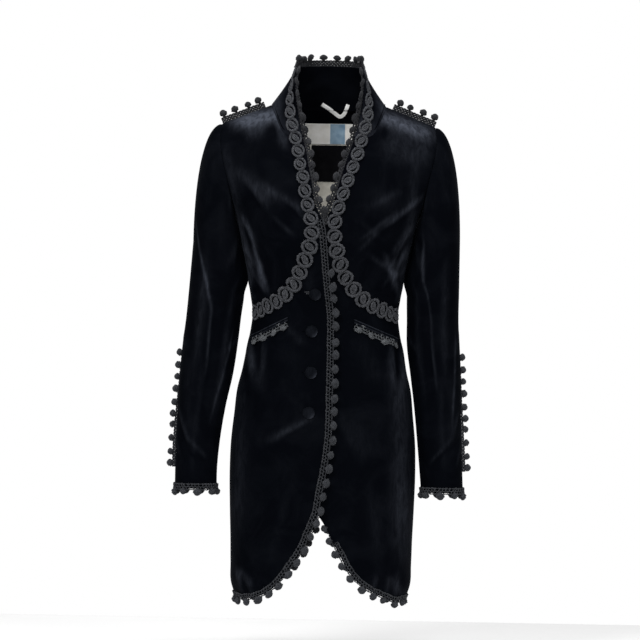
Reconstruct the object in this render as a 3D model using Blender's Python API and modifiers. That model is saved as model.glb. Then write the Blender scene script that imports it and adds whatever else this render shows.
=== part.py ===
"""A women's fitted frock coat of dark velvet, held in the hollow shape it has when worn.

Every cut piece is its own closed wall. Ring braid and bobble braid edge the coat. The coat is drawn in metres
with +Z up and its front towards -Y. The origin is between the shoulders, at the foot of the collar.
"""

import math

import bmesh
import bpy
import numpy as np
from mathutils import Matrix, Vector
from mathutils.bvhtree import BVHTree

MM = 0.001

# Cloth, seams and trims
WALL = 2.2 * MM
SEAM_GAP = 0.4 * MM
LIFT = 0.9 * MM
RIGHT, LEFT = -1, 1
ROUNDNESS = 2.2
UNDERLAP_DROP = 5.0 * MM
UNDERLAP_FROM, UNDERLAP_TO = 24 * MM, 58 * MM

# Grid counts, in strips of cloth across and down
NECK_STRIPS, SHOULDER_STRIPS = 3, 5
BACK_NECK_STRIPS, BACK_SHOULDER_STRIPS = 4, 5
ARMHOLE_STRIPS = 7
BODICE_STRIPS = 4
SKIRT_STRIPS = 14
COLLAR_STRIPS = 4
CAP_STRIPS, SLEEVE_STRIPS = 6, 13
EDGE_CROWDING = 1.4

# Heights of the main lines, in millimetres
UNDERARM = -205
WAIST = -379
HEM_AT_SIDE = -890
VENT_TOP = -738
SLEEVE_FREE = -250
CUFF = -697

# Body sections: height, half width, depth in front, depth behind, in millimetres
BODY = (
    (-900, 151, 99, 108), (-886, 156, 100, 109), (-868, 162, 102, 110), (-828, 164, 103, 111),
    (-785, 165, 103, 112), (-731, 167, 104, 114), (-662, 168.5, 105, 116), (-608, 167, 104, 116),
    (-558, 162, 103, 114), (-513, 157, 101, 110), (-481, 149, 97, 104), (-443, 142, 93, 97),
    (-407, 135, 88, 89), (-378, 132, 85, 83), (-350, 135.5, 88, 84), (-320, 140.5, 95, 88),
    (-280, 147.5, 107, 94), (-250, 154.5, 113, 99), (-223, 161, 115, 103), (-205, 166, 114, 105),
    (-190, 173, 112, 106), (-169, 188, 109, 106), (-119, 219, 96, 104), (-76, 231, 81, 98),
    (-50, 211, 71, 92), (-36, 194, 66, 88), (-24, 164, 61, 82), (-12, 134, 56, 77), (0, 104, 50, 72),
)

# Front edges of the cloth: height, distance from the centre line towards that side
RIGHT_EDGE = (
    (-736, 8), (-711, 4.6), (-659, -4.6), (-608, -11.2), (-515, -13.2), (-425, -13.2), (-371, -11.6),
    (-346, -8), (-322, -5.1), (-288, -1.2), (-254, 1.9), (-225, 5.5), (-205, 11), (-187, 20), (-163, 26),
    (-137, 30), (-112, 35.5), (-86, 40), (-63, 46),
)
LEFT_EDGE = (
    (-744, 1), (-725, -16), (-700, -28), (-650, -38), (-500, -40), (-300, -40), (-280, -38), (-250, -25),
    (-225, -11), (-205, 0), (-187, 8), (-163, 15), (-137, 22), (-112, 29.5), (-86, 38), (-63, 46),
)

# Rounded skirt corners: distance from the centre line, height
RIGHT_HEM = (
    (8, -736), (19, -763), (34, -800), (44, -817), (55, -833), (66, -849), (80, -866), (94, -878.5),
    (109, -886.6), (123, -891), (137, -893), (156, HEM_AT_SIDE),
)
LEFT_HEM = (
    (1, -744), (5, -751), (14, -769), (22, -789), (33, -809), (43.5, -829), (55, -846), (69, -860),
    (84, -871), (100, -879), (115, -886), (133, -893), (156, HEM_AT_SIDE),
)
BACK_HEM = (
    (0, VENT_TOP), (9, -758), (19, -782), (31, -806), (43, -826), (55, -845), (69, -860), (84, -872),
    (100, -881), (115, -888), (133, -893), (156, HEM_AT_SIDE),
)

# Seam under the ring braid, from front edge to side seam: share of the way, height
RIGHT_BUST_SEAM = ((0, -270), (0.1, -272), (0.2, -292), (0.32, -328), (0.45, -350), (0.62, -364), (1, WAIST))
LEFT_BUST_SEAM = ((0, -258), (0.2, -262), (0.34, -292), (0.44, -325), (0.56, -350), (0.7, -366), (1, WAIST))

# Neck and armhole seams: distance from the centre line, height
NECK_FRONT = ((46, -63), (80, -54), (97, -20), (104, 0))
SHOULDER_TIP = (194, -36)
ARMHOLE = (
    (194, -36), (195.5, -58), (194, -82), (189, -108), (182, -136), (175, -163), (169, -188), (166, UNDERARM),
)

# Rough middles of the pieces, in metres, to tell their right side
SLEEVE_MIDDLES = ((-0.7, -0.25, -0.12), (0.22, 0.2, 0.185))
SLEEVE_CAP_LEAN, SLEEVE_CAP_FOOT = 0.02, -0.15
SHOULDER_LEAN, SHOULDER_FOOT = 0.05, -0.1
COLLAR_CENTRE, BODY_FLATNESS = 0.01, 0.4

# Top edge and front edge of the collar: across, forward or back, height
COLLAR_TOP = (
    (0, 58, -44, 68), (0.2, 60, -22, 68.3), (0.43, 61, 4, 69.5), (0.6, 53, 34, 71.5), (0.8, 30, 54, 74),
    (1, 0, 61, 75),
)
COLLAR_HOLLOW = 5 * MM
COLLAR_HOLLOW_RATE, COLLAR_BEND = 1.6, 0.35
COLLAR_FRONT = (
    (0, 46, -75, -63), (0.3, 55.5, -72, -23), (0.55, 61.5, -65, 11), (0.8, 63, -54, 43), (1, 58, -44, 68),
)

# Sleeve sections below the underarm: height, inner side, outer side, centre, half depth
RIGHT_SLEEVE = (
    (CUFF, 191, 267, -16, 37), (-664, 191, 267, -15, 37.5), (-612, 187, 266.5, -12, 39),
    (-545, 177, 264.5, -8, 42), (-488, 165, 262, -5, 45), (-428, 157, 257, -2, 47), (-389, 153, 252.5, 0, 48),
    (-335, 147.5, 248, 1, 50), (-300, 150.5, 245.5, 2, 51), (SLEEVE_FREE, 159, 242, 2, 53),
)
LEFT_SLEEVE = (
    (CUFF, 179, 255, -16, 37), (-664, 176, 253.5, -15, 37.5), (-612, 171, 251, -12, 39),
    (-545, 164, 249, -8, 42), (-488, 156.5, 248, -5, 45), (-428, 148.5, 244.5, -2, 47),
    (-389, 148, 242, 0, 48), (-335, 147.5, 242, 1, 50), (-300, 150.5, 242, 2, 51),
    (SLEEVE_FREE, 159, 242, 2, 53),
)
UPPER_TURNS = (0, 25.7, 51.4, 77.1, 102.9, 128.6, 152, 180, 208, 231.4, 257.1, 282.9, 308.6, 334.3)
LOWER_TURNS = (38, 57, 75, 93, 111, 129, 147, 178, 208, 238, 268, 313, 358, 378)
FRONT_SEAM_COLUMN, BACK_SEAM_COLUMN = 6, 12
SLEEVE_TWIST_LENGTH = 150
SLEEVE_SEAM_PULL = 0.52 * MM
CAP_LEAVE_LOW, CAP_LEAVE_TOP = 28 * MM, 115 * MM
CAP_LOW_WAY, CAP_ARRIVAL = (0.3, -0.95), 1.15
SLEEVE_BRAID = (-446, -657)
SLEEVE_BRAID_WIDTH = 5.6 * MM
SHOULDER_BRAID_SHARES = (0.12, 0.34, 0.56, 0.78, 0.98)

# Soft folds down a sleeve: turn from its outer side, start and end heights, share of the depth
SLEEVE_FOLDS = ((70, -290, -560, 0.05), (118, -330, -640, -0.05), (250, -300, -600, 0.05))
SLEEVE_FOLD_WIDTH, SLEEVE_FOLD_FADE = 16, 50
FOLD_PAST, FOLD_FADE, FOLD_SIDE_FADE = 0.25, 0.5, 2.5

# Large soft folds: side, start across and height, end across and height, half width, height of the fold
FRONT_FOLDS = (
    (LEFT, 110, -222, 172, -168, 20, 3.5), (LEFT, 60, -210, 120, -255, 18, -2.5),
    (LEFT, 118, -300, 128, -352, 11, 3), (LEFT, 96, -310, 104, -350, 9, -2.5),
    (LEFT, 116, -425, 124, -520, 13, 3), (LEFT, 136, -430, 142, -505, 10, -2.5),
    (LEFT, 104, -840, 98, -868, 12, 2.5), (RIGHT, 60, -135, 118, -195, 20, 3),
    (RIGHT, 30, -185, 85, -240, 18, -2.5), (RIGHT, 118, -300, 128, -352, 11, 3),
    (RIGHT, 140, -430, 136, -505, 12, 2.5), (RIGHT, 112, -430, 114, -500, 11, -2.5),
    (RIGHT, 20, -565, 92, -605, 16, 3), (RIGHT, 140, -850, 132, -878, 12, 3),
)
BACK_FOLDS = (
    (LEFT, 60, -150, 130, -205, 20, 3), (RIGHT, 62, -158, 128, -200, 19, 3),
    (LEFT, 40, -330, 100, -350, 12, -2.5), (RIGHT, 38, -326, 104, -346, 12, -2.5),
    (LEFT, 108, -420, 116, -530, 14, 3), (RIGHT, 112, -428, 118, -515, 13, 3),
    (LEFT, 60, -600, 52, -720, 18, 3), (RIGHT, 64, -610, 58, -735, 17, 3),
)

# Ring braid: height, distance of its centre from the centre line
RIGHT_RINGS = (
    (-379, 128), (-373, 116), (-365, 103), (-357, 89), (-344, 73), (-328, 59), (-308, 49), (-283, 39),
    (-260, 31), (-236, 27), (-211, 28), (-187, 34), (-163, 40), (-137, 44), (-112, 50), (-86, 54), (-63, 60),
)
LEFT_RINGS = (
    (-380, 128), (-376, 115), (-369, 101), (-362, 85), (-351, 68), (-337, 54), (-320, 40), (-299, 29),
    (-274, 21), (-248, 15.5), (-225, 13), (-201, 16), (-175, 24), (-148, 33), (-122, 42), (-97, 51), (-63, 60),
)
RING_PITCH = 25 * MM
RING_INSET = 15 * MM
RING_TOP_SHARE = 0.36
RING_PATH_STEPS = 41
RING_LIFT, RING_THICKNESS = 1.8 * MM, 2.4 * MM
RING_LINK = (
    ("joint", 0.0, 5.0), ("shoulder", 0.16, 13.0), ("belly", 0.5, 15.0), ("far_shoulder", 0.84, 13.0),
    ("gap_start", 0.3, 7.0), ("gap_outer", 0.5, 10.2), ("gap_end", 0.7, 7.0), ("gap_inner", 0.5, 4.8),
)

# Bobble braid
STRIP_THICKNESS = 1.8 * MM
STRIP_INSIDE, STRIP_OUTSIDE = 6.5 * MM, 1.5 * MM
POM_PITCH = 25 * MM
POM_ROOT, BEND_CLEAR = 3 * MM, 1 * MM
TANGENT_REACH, CUT_CLEAR = 6 * MM, 2 * MM
NECK_MARGIN, HEM_MARGIN, COLLAR_MARGIN = 12 * MM, 10 * MM, 6 * MM
SHOULDER_MARGIN, POCKET_MARGIN = 5 * MM, 8 * MM
NECK_INSIDE, NECK_RISE, FRONT_RISE = 4 * MM, -3 * MM, 2.5 * MM
LEFT_START, BACK_START, BACK_CUT = 6 * MM, 24 * MM, 6 * MM
NECK_BARE, NECK_BRAID_DROP = 40 * MM, 1.3 * MM
FRONT_START = 26 * MM
FRONT_BARE = 92 * MM
HEM_WAY_START, HEM_WAY_TURN, HEM_WAY_FROM = 0.35, 6.0, -0.76
POM_WIDE, POM_DEEP = 5.4 * MM, 4.2 * MM
POM_MIDDLE, POM_REACH = 6 * MM, 12.5 * MM

# Buttons and pockets, in millimetres: distance from the centre line and height
BUTTONS = ((19, -343), (24, -410), (24, -484), (26.5, -556))
BUTTON_PROFILE = ((0, 6.6), (5, 6.1), (9, 4.3), (11, 1.4), (10.4, 0), (0, 0))
BUTTON_SIDES = 12
BUTTON_GAP = 0.3 * MM
WELTS = {RIGHT: ((67, -384), (130, -417)), LEFT: ((52, -386), (130, -419))}
WELT_HEIGHT, WELT_THICKNESS, WELT_LIFT = 9.5, 2.2 * MM, 1.3 * MM
POCKET_BRAID_DROP = 15.0

# Inside of the back: lining, label and hanging loop, in millimetres
LINING_HALF_WIDTH = 76
LINING_BAND = (-29, -66)
LINING_LOWER = (-67, -215)
LINING_THICKNESS, LINING_GAP, LABEL_GAP = 1 * MM, 0.8 * MM, 0.6 * MM
LABEL_ACROSS, LABEL_HEIGHT = (-28, 36.5), (-68, -135)
LOOP_PATH = ((-13, 6), (1, -3), (12, -11), (20, -16), (27, -12), (31, -4), (34.5, 6))
LOOP_WIDTH = 3.4
LOOP_GAPS = (2.9 * MM, 1.9 * MM)

COLOURS = {
    "velvet": (0.004, 0.005, 0.010, 0.62),
    "braid": (0.028, 0.029, 0.036, 0.9),
    "lining": (0.62, 0.60, 0.55, 0.6),
    "lining_lower": (0.40, 0.38, 0.32, 0.6),
    "label": (0.008, 0.008, 0.010, 0.6),
    "tape": (0.85, 0.85, 0.83, 0.5),
}


def smooth(rows, at):
    """Values read at a key, on a smooth curve through rows of (key, value, ...) in order of their keys."""
    rows = np.asarray(sorted(rows), float)
    keys, values = rows[:, 0], rows[:, 1:]
    slopes = np.gradient(values, keys, axis=0)
    at = min(max(at, keys[0]), keys[-1])
    index = min(max(int(np.searchsorted(keys, at)) - 1, 0), len(keys) - 2)
    span = keys[index + 1] - keys[index]
    u = (at - keys[index]) / span
    found = (
        (2 * u**3 - 3 * u**2 + 1) * values[index]
        + (u**3 - 2 * u**2 + u) * span * slopes[index]
        + (3 * u**2 - 2 * u**3) * values[index + 1]
        + (u**3 - u**2) * span * slopes[index + 1]
    )
    return found if len(found) > 1 else float(found[0])


def ease(share):
    """Smooth step from 0 to 1."""
    share = min(max(share, 0.0), 1.0)
    return share * share * (3 - 2 * share)


def turn_of(across, level):
    """How far round the body a point lies: 0 at the centre line and 1 at the side seam."""
    share = min(abs(across) / smooth(BODY, level)[0], 1.0)
    return math.copysign(math.asin(share ** (ROUNDNESS / 2)) / (math.pi / 2), across)


def across_of(turn, level):
    """The distance from the centre line of a turn round the body."""
    half_width = smooth(BODY, level)[0]
    return math.copysign(half_width * abs(math.sin(turn * math.pi / 2)) ** (2 / ROUNDNESS), turn)


def fold_height(side, across, level, folds):
    """Height of the folds at a point, each a soft ridge or trough along a line that fades at its ends."""
    total = 0.0
    for fold_side, x0, z0, x1, z1, half_width, height in folds:
        if fold_side != side:
            continue
        line = np.array((x1 - x0, z1 - z0), float)
        away = np.array((across - x0, level - z0), float)
        share = float(away @ line / (line @ line))
        beside = float(np.linalg.norm(away - share * line))
        end = ease((share + FOLD_PAST) / FOLD_FADE) * ease((1 + FOLD_PAST - share) / FOLD_FADE)
        total += height * math.exp(-((beside / half_width) ** 2)) * end
    return total


def body_point(side, across, level, behind=False):
    """A point on the outside of the coat's body, in metres. Across and level are in millimetres."""
    half_width, front, back = smooth(BODY, level)
    depth = back if behind else front
    share = min(abs(across) / half_width, 1.0)
    out = (1 - share**ROUNDNESS) ** (1 / ROUNDNESS)
    folds = BACK_FOLDS if behind else FRONT_FOLDS
    fold = fold_height(side, across, level, folds) * min(1.0, FOLD_SIDE_FADE * out)
    slope = np.array((share ** (ROUNDNESS - 1) / half_width, out ** (ROUNDNESS - 1) / depth))
    slope /= np.linalg.norm(slope)
    beside = across + math.copysign(fold * slope[0], across)
    away = (depth * out + fold * slope[1]) * MM
    if side == LEFT and not behind:
        away -= UNDERLAP_DROP * (1 - ease((across * MM - UNDERLAP_FROM) / (UNDERLAP_TO - UNDERLAP_FROM)))
    return np.array((side * beside * MM, away if behind else -away, level * MM))


def between(rows, count):
    """Evenly shared points along a smooth line through flat points, as (across, level) pairs."""
    keyed = [(index, *row) for index, row in enumerate(rows)]
    return [smooth(keyed, (len(rows) - 1) * step / count) for step in range(count + 1)]


def shares(count, crowding=1.0):
    """Shares from 0 to 1, crowded towards 0."""
    return [(step / count) ** crowding for step in range(count + 1)]


def patch(top, bottom, left, right):
    """Grid of flat points between four edges of a panel."""
    rows, columns = len(left), len(top)
    top, bottom, left, right = (np.asarray(edge, float) for edge in (top, bottom, left, right))
    grid = np.zeros((rows, columns, 2))
    for row in range(rows):
        v = row / (rows - 1)
        for column in range(columns):
            u = column / (columns - 1)
            grid[row, column] = (
                (1 - v) * top[column] + v * bottom[column] + (1 - u) * left[row] + u * right[row]
                - (1 - u) * (1 - v) * top[0] - u * (1 - v) * top[-1]
                - (1 - u) * v * bottom[0] - u * v * bottom[-1]
            )
    return grid


def level_line(start_turn, end_turn, level, crowding, count):
    """Flat points round the body at one height."""
    return [
        (across_of(start_turn + (end_turn - start_turn) * share, level), level)
        for share in shares(count, crowding)
    ]


def chest_grid(neck, edge_rows, count, crowding):
    """Flat grid from the neck and shoulder seams down to the underarm."""
    tip = np.array(SHOULDER_TIP, float)
    neck_point = np.array(neck[-1], float)
    shoulder = [tuple(neck_point + (tip - neck_point) * share) for share in shares(count - len(neck) + 1)][1:]
    top = list(neck) + shoulder
    left = edge_rows
    right = between(ARMHOLE, ARMHOLE_STRIPS)
    bottom = level_line(turn_of(left[-1][0], UNDERARM), 1, UNDERARM, crowding, count)
    return patch(top, bottom, left, right)


def turned_patch(top, bottom, rows, edge):
    """Flat grid below the underarm, evened out in turns round the body. The edge gives its first column."""
    count = len(top)
    grid = np.zeros((rows + 1, count, 2))
    for row in range(rows + 1):
        v = row / rows
        for column in range(count):
            level = top[column][1] + (bottom[column][1] - top[column][1]) * v
            start, end = turn_of(*top[column]), turn_of(*bottom[column])
            edge_level = top[0][1] + (bottom[0][1] - top[0][1]) * v
            bend = turn_of(edge(edge_level), edge_level) - (
                turn_of(*top[0]) + (turn_of(*bottom[0]) - turn_of(*top[0])) * v
            )
            fade = 1 - column / (count - 1)
            grid[row, column] = (across_of(start + (end - start) * v + bend * fade**2, level), level)
    return grid


def hem_line(table, count):
    """Flat points along a rounded skirt corner, from the front or back edge to the side seam."""
    widest = smooth(BODY, HEM_AT_SIDE)[0]
    start = math.asin((table[0][0] / widest) ** (ROUNDNESS / 2))
    line = []
    for share in shares(count, EDGE_CROWDING):
        across = widest * math.sin(start + (math.pi / 2 - start) * share) ** (2 / ROUNDNESS)
        line.append((across, smooth(table, across)))
    line[-1] = (widest, HEM_AT_SIDE)
    return line


def front_grids(side):
    """Flat grids of the bodice front and the skirt front of one side."""
    edge_table = RIGHT_EDGE if side == RIGHT else LEFT_EDGE
    seam_table = RIGHT_BUST_SEAM if side == RIGHT else LEFT_BUST_SEAM
    hem_table = RIGHT_HEM if side == RIGHT else LEFT_HEM
    count = NECK_STRIPS + SHOULDER_STRIPS

    def edge(level):
        return smooth(edge_table, level)

    v_levels = np.linspace(NECK_FRONT[0][1], UNDERARM, ARMHOLE_STRIPS + 1)
    chest = chest_grid(between(NECK_FRONT, NECK_STRIPS), [(edge(level), level) for level in v_levels], count,
                       EDGE_CROWDING)
    seam = []
    for share in shares(count, EDGE_CROWDING):
        level = smooth(seam_table, share)
        start = turn_of(edge(level), level)
        seam.append((across_of(start + (1 - start) * share, level), level))
    lower = turned_patch([tuple(point) for point in chest[-1]], seam, BODICE_STRIPS, edge)
    bodice = np.concatenate((chest, lower[1:]))
    hem = hem_line(hem_table, count)
    skirt = turned_patch(seam, hem, SKIRT_STRIPS, edge)
    return bodice, skirt


def back_grids():
    """Flat grids of the bodice back and the skirt back. The first column is the centre back."""
    count = BACK_NECK_STRIPS + BACK_SHOULDER_STRIPS
    neck = [(across_of(share, 0), 0) for share in shares(BACK_NECK_STRIPS)]
    levels = np.linspace(0, UNDERARM, ARMHOLE_STRIPS + 1)
    chest = chest_grid(neck, [(0, level) for level in levels], count, 1.0)
    waist = level_line(0, 1, WAIST, 1.0, count)
    lower = turned_patch([tuple(point) for point in chest[-1]], waist, BODICE_STRIPS, lambda level: 0)
    hem = hem_line(BACK_HEM, count)
    skirt = turned_patch(waist, hem, SKIRT_STRIPS, lambda level: 0)
    return np.concatenate((chest, lower[1:])), skirt


def placed(grid, side, behind=False, shoulder_from=None):
    """Points in space of a flat grid on the body. From a column on, its top lies over the arm's middle."""
    points = np.array([[body_point(side, x, z, behind) for x, z in row] for row in grid])
    if shoulder_from is not None:
        points[0, shoulder_from:, 1] = 0.0
    return points


def collar_grid(neck_front, neck_back):
    """Points of the collar from its foot, which is the neck seam, to its top edge, for the left half."""
    foot = list(neck_front) + list(neck_back[1:])
    lengths = np.cumsum([0] + [np.linalg.norm(b - a) for a, b in zip(foot, foot[1:])])
    along = lengths / lengths[-1]
    front = np.array([smooth(COLLAR_FRONT, row / COLLAR_STRIPS) for row in range(COLLAR_STRIPS + 1)]) * MM
    top = np.array([smooth(COLLAR_TOP, share) for share in along]) * MM
    rows = []
    for row in range(COLLAR_STRIPS + 1):
        v = row / COLLAR_STRIPS
        bend = front[row] - (front[0] + (front[-1] - front[0]) * v)
        line = []
        for column, share in enumerate(along):
            round_share = math.sin(math.pi * min(share * COLLAR_HOLLOW_RATE, 1)) ** 2
            hollow = COLLAR_HOLLOW * math.sin(math.pi * v) * round_share
            point = foot[column] * (1 - v) + top[column] * v + bend * max(0.0, 1 - share / COLLAR_BEND) ** 2
            inward = np.array((-point[0], -point[1], 0.0))
            line.append(point + hollow * inward / max(np.linalg.norm(inward), 1e-6))
        rows.append(line)
    return np.array(rows)


def grid_faces(rows, columns):
    """Triangles of a grid whose points are numbered row by row."""
    faces = []
    for row in range(rows - 1):
        for column in range(columns - 1):
            here = row * columns + column
            faces.append((here, here + 1, here + columns + 1))
            faces.append((here, here + columns + 1, here + columns))
    return faces


def shared_normals(grids, outward):
    """Normal at each point of each grid, shared by panels that meet there, so that the seams run parallel."""
    totals = {}

    def key(point):
        return tuple(int(round(value * 1e5)) for value in point)

    for name, grid in grids.items():
        rows, columns = grid.shape[:2]
        points = grid.reshape(-1, 3)
        for a, b, c in grid_faces(rows, columns):
            normal = np.cross(points[b] - points[a], points[c] - points[a])
            if normal @ outward(name, (points[a] + points[c]) / 2) < 0:
                normal = -normal
            for corner in (a, b, c):
                total = totals.setdefault(key(points[corner]), np.zeros(3))
                total += normal
    found = {}
    for name, grid in grids.items():
        normals = np.array([[totals[key(point)] for point in row] for row in grid])
        found[name] = normals / np.linalg.norm(normals, axis=2, keepdims=True)
    return found


def pull_rims(points, top=0.0, bottom=0.0, left=0.0, right=0.0):
    """Moves the edge rows and columns of a grid towards the inside of the panel by the given distances."""
    moved = points.copy()

    def step(edge, inside, distance):
        way = inside - edge
        return edge + way / np.linalg.norm(way, axis=-1, keepdims=True) * distance

    if top:
        moved[0] = step(moved[0], points[1], top)
    if bottom:
        moved[-1] = step(moved[-1], points[-2], bottom)
    if left:
        moved[:, 0] = step(moved[:, 0], moved[:, 1], left)
    if right:
        moved[:, -1] = step(moved[:, -1], moved[:, -2], right)
    return moved


def material(name):
    """The plain material of one cloth or trim."""
    found = bpy.data.materials.get(name)
    if found is None:
        red, green, blue, roughness = COLOURS[name]
        found = bpy.data.materials.new(name)
        found.use_nodes = True
        shader = found.node_tree.nodes["Principled BSDF"]
        shader.inputs["Base Color"].default_value = (red, green, blue, 1)
        shader.inputs["Roughness"].default_value = roughness
        shader.inputs["Metallic"].default_value = 0.0
    return found


def add_object(name, mesh, cloth, collection):
    """Puts a mesh into the coat's collection as a named object with its material."""
    mesh.materials.clear()
    mesh.materials.append(material(cloth))
    found = bpy.data.objects.new(name, mesh)
    collection.objects.link(found)
    return found


def add_wall(name, faces, outer, inner, cloth, collection):
    """A closed wall between two layers of points that have the same faces, with its rims closed."""
    body = bmesh.new()
    outside = [body.verts.new(point) for point in outer]
    inside = [body.verts.new(point) for point in inner]
    sides = {}
    for face in faces:
        body.faces.new([outside[index] for index in face])
        body.faces.new([inside[index] for index in reversed(face)])
        for start, end in zip(face, face[1:] + face[:1]):
            if (end, start) in sides:
                del sides[(end, start)]
            else:
                sides[(start, end)] = True
    for start, end in sides:
        body.faces.new((outside[end], outside[start], inside[start], inside[end]))
    bmesh.ops.recalc_face_normals(body, faces=body.faces)
    mesh = bpy.data.meshes.new(name)
    body.to_mesh(mesh)
    body.free()
    return add_object(name, mesh, cloth, collection)


def tree_of(layers):
    """Search tree over the faces of several grids of points."""
    points, faces = [], []
    for grid in layers:
        start = len(points)
        rows, columns = grid.shape[:2]
        points.extend(Vector(point) for point in grid.reshape(-1, 3))
        faces += [tuple(start + corner for corner in face) for face in grid_faces(rows, columns)]
    return BVHTree.FromPolygons(points, faces)


def on_cloth(tree, point, outward, lift):
    """The nearest point of the cloth, moved out by a lift, with the cloth's normal there."""
    place, normal, _, _ = tree.find_nearest(Vector(point))
    if normal.dot(Vector(outward)) < 0:
        normal = -normal
    return np.array(place + normal * lift), np.array(normal)


class EdgePath:
    """A line along an edge of the cloth, with the cloth's normal at each of its points."""

    def __init__(self, points, normals, closed=False):
        points, normals = list(points), list(normals)
        if closed:
            points.append(points[0])
            normals.append(normals[0])
        self.points, self.normals = np.array(points), np.array(normals)
        steps = np.linalg.norm(np.diff(self.points, axis=0), axis=1)
        self.lengths = np.concatenate(([0.0], np.cumsum(steps)))
        self.length = float(self.lengths[-1])
        self.closed = closed

    def at(self, length):
        """Point, normal and tangent at a length along the path."""
        def read(values, where):
            if self.closed:
                where %= self.length
            return np.array([np.interp(where, self.lengths, values[:, axis]) for axis in range(3)])

        near = TANGENT_REACH
        before = length - near if self.closed else max(length - near, 0.0)
        after = length + near if self.closed else min(length + near, self.length)
        tangent = read(self.points, after) - read(self.points, before)
        normal = read(self.normals, length)
        return read(self.points, length), normal / np.linalg.norm(normal), tangent / np.linalg.norm(tangent)


def pom_places(length, margin, pitch=POM_PITCH, start=0.0):
    """Lengths along a path at which poms stand, evenly shared."""
    count = max(int(round((length - start - 2 * margin) / pitch)), 1)
    return [start + margin + (length - start - 2 * margin) * step / count for step in range(count + 1)]


def add_bobble_braid(name, path, poms, away, collection, tree=None, inside=STRIP_INSIDE, base=LIFT, rise=0.0,
                     pom_tree=None):
    """A narrow strip along an edge with poms that stand out beyond it, fused at their roots.

    The strip has a section at each bend of the path and beside each pom, so that it follows the cloth.
    away(point) tells which way is off the cloth. The inner side follows the cloth where a tree is given.
    """
    stations = [(0.0, False), (path.length, False)] if not path.closed else []
    for place in poms:
        stations += [(place - POM_ROOT, True), (place + POM_ROOT, False)]
    clear = POM_ROOT + BEND_CLEAR
    stations += [
        (length, False) for length in path.lengths[0 if path.closed else 1:-1]
        if all(abs(length - place) > clear for place in poms)
    ]
    filled = sorted(stations)
    body = bmesh.new()
    sections, frames = [], []
    for place, _ in filled:
        point, normal, tangent = path.at(place)
        off = np.cross(tangent, normal)
        off /= np.linalg.norm(off)
        if off @ away(point) < 0:
            off = -off
        inner = point - off * inside
        if tree is None:
            inner = inner + normal * base
            inner_normal = normal
        else:
            inner, inner_normal = on_cloth(tree, inner, normal, base)
        outer = point + off * STRIP_OUTSIDE + normal * base
        corners = (inner, outer, outer + normal * STRIP_THICKNESS, inner + inner_normal * STRIP_THICKNESS)
        sections.append([body.verts.new(corner) for corner in corners])
        frames.append((normal, tangent, off))
    count = len(sections)
    for index in range(count if path.closed else count - 1):
        here, following = sections[index], sections[(index + 1) % count]
        for side in range(4):
            if side == 1 and filled[index][1]:
                continue
            body.faces.new((here[side], here[(side + 1) % 4], following[(side + 1) % 4], following[side]))
        if filled[index][1]:
            root = (here[1], following[1], following[2], here[2])
            normal, tangent, off = frames[index]
            middle = sum((np.array(vert.co) for vert in root), np.zeros(3)) / 4
            centre = middle + off * POM_MIDDLE + normal * rise
            if pom_tree is not None:
                centre, _ = on_cloth(pom_tree, centre, normal, POM_DEEP + LIFT)
            ring = [
                body.verts.new(centre + tangent * POM_WIDE * wide + normal * POM_DEEP * deep)
                for wide, deep in ((-1, -1), (1, -1), (1, 1), (-1, 1))
            ]
            tip = body.verts.new(centre + off * (POM_REACH - POM_MIDDLE))
            for side in range(4):
                body.faces.new((root[side], root[(side + 1) % 4], ring[(side + 1) % 4], ring[side]))
                body.faces.new((ring[side], ring[(side + 1) % 4], tip))
    if not path.closed:
        body.faces.new(reversed(sections[0]))
        body.faces.new(sections[-1])
    bmesh.ops.recalc_face_normals(body, faces=body.faces)
    mesh = bpy.data.meshes.new(name)
    body.to_mesh(mesh)
    body.free()
    return add_object(name, mesh, "braid", collection)


def add_ring_braid(name, path, tree, collection):
    """Linked oval rings, each with two crescent gaps cut through, along a path on the cloth."""
    links = int(path.length / RING_PITCH)
    pitch = path.length / links
    points, faces, index_of = [], [], {}

    def corner(link, kind, sign):
        if kind == "far_joint":
            link, kind = link + 1, "joint"
        key = (link, kind, sign)
        if key not in index_of:
            along, wide = next((row[1], row[2]) for row in RING_LINK if row[0] == kind)
            length = min((link + along) * pitch, path.length)
            centre, normal, tangent = path.at(length)
            beside = np.cross(normal, tangent)
            index_of[key] = len(points)
            place = centre + beside * sign * wide * MM
            near, face_normal = on_cloth(tree, place, normal, 0.0)
            points.append((near, face_normal))
        return index_of[key]

    for link in range(links):
        for sign in (-1, 1):
            quads = (
                ("joint", "shoulder", "gap_start"), ("shoulder", "belly", "gap_outer", "gap_start"),
                ("belly", "far_shoulder", "gap_end", "gap_outer"), ("far_shoulder", "far_joint", "gap_end"),
            )
            for quad in quads:
                face = tuple(corner(link, kind, sign) for kind in quad)
                faces.append(face if sign < 0 else tuple(reversed(face)))
        middle = ("joint", "gap_start", "gap_inner", "gap_end", "far_joint")
        for start, end in zip(middle, middle[1:]):
            faces.append(tuple(corner(link, kind, sign) for kind, sign in (
                (start, -1), (end, -1), (end, 1), (start, 1))))
    low = [place + normal * RING_LIFT for place, normal in points]
    high = [place + normal * (RING_LIFT + RING_THICKNESS) for place, normal in points]
    return add_wall(name, [tuple(reversed(face)) for face in faces], high, low, "braid", collection)


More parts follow.
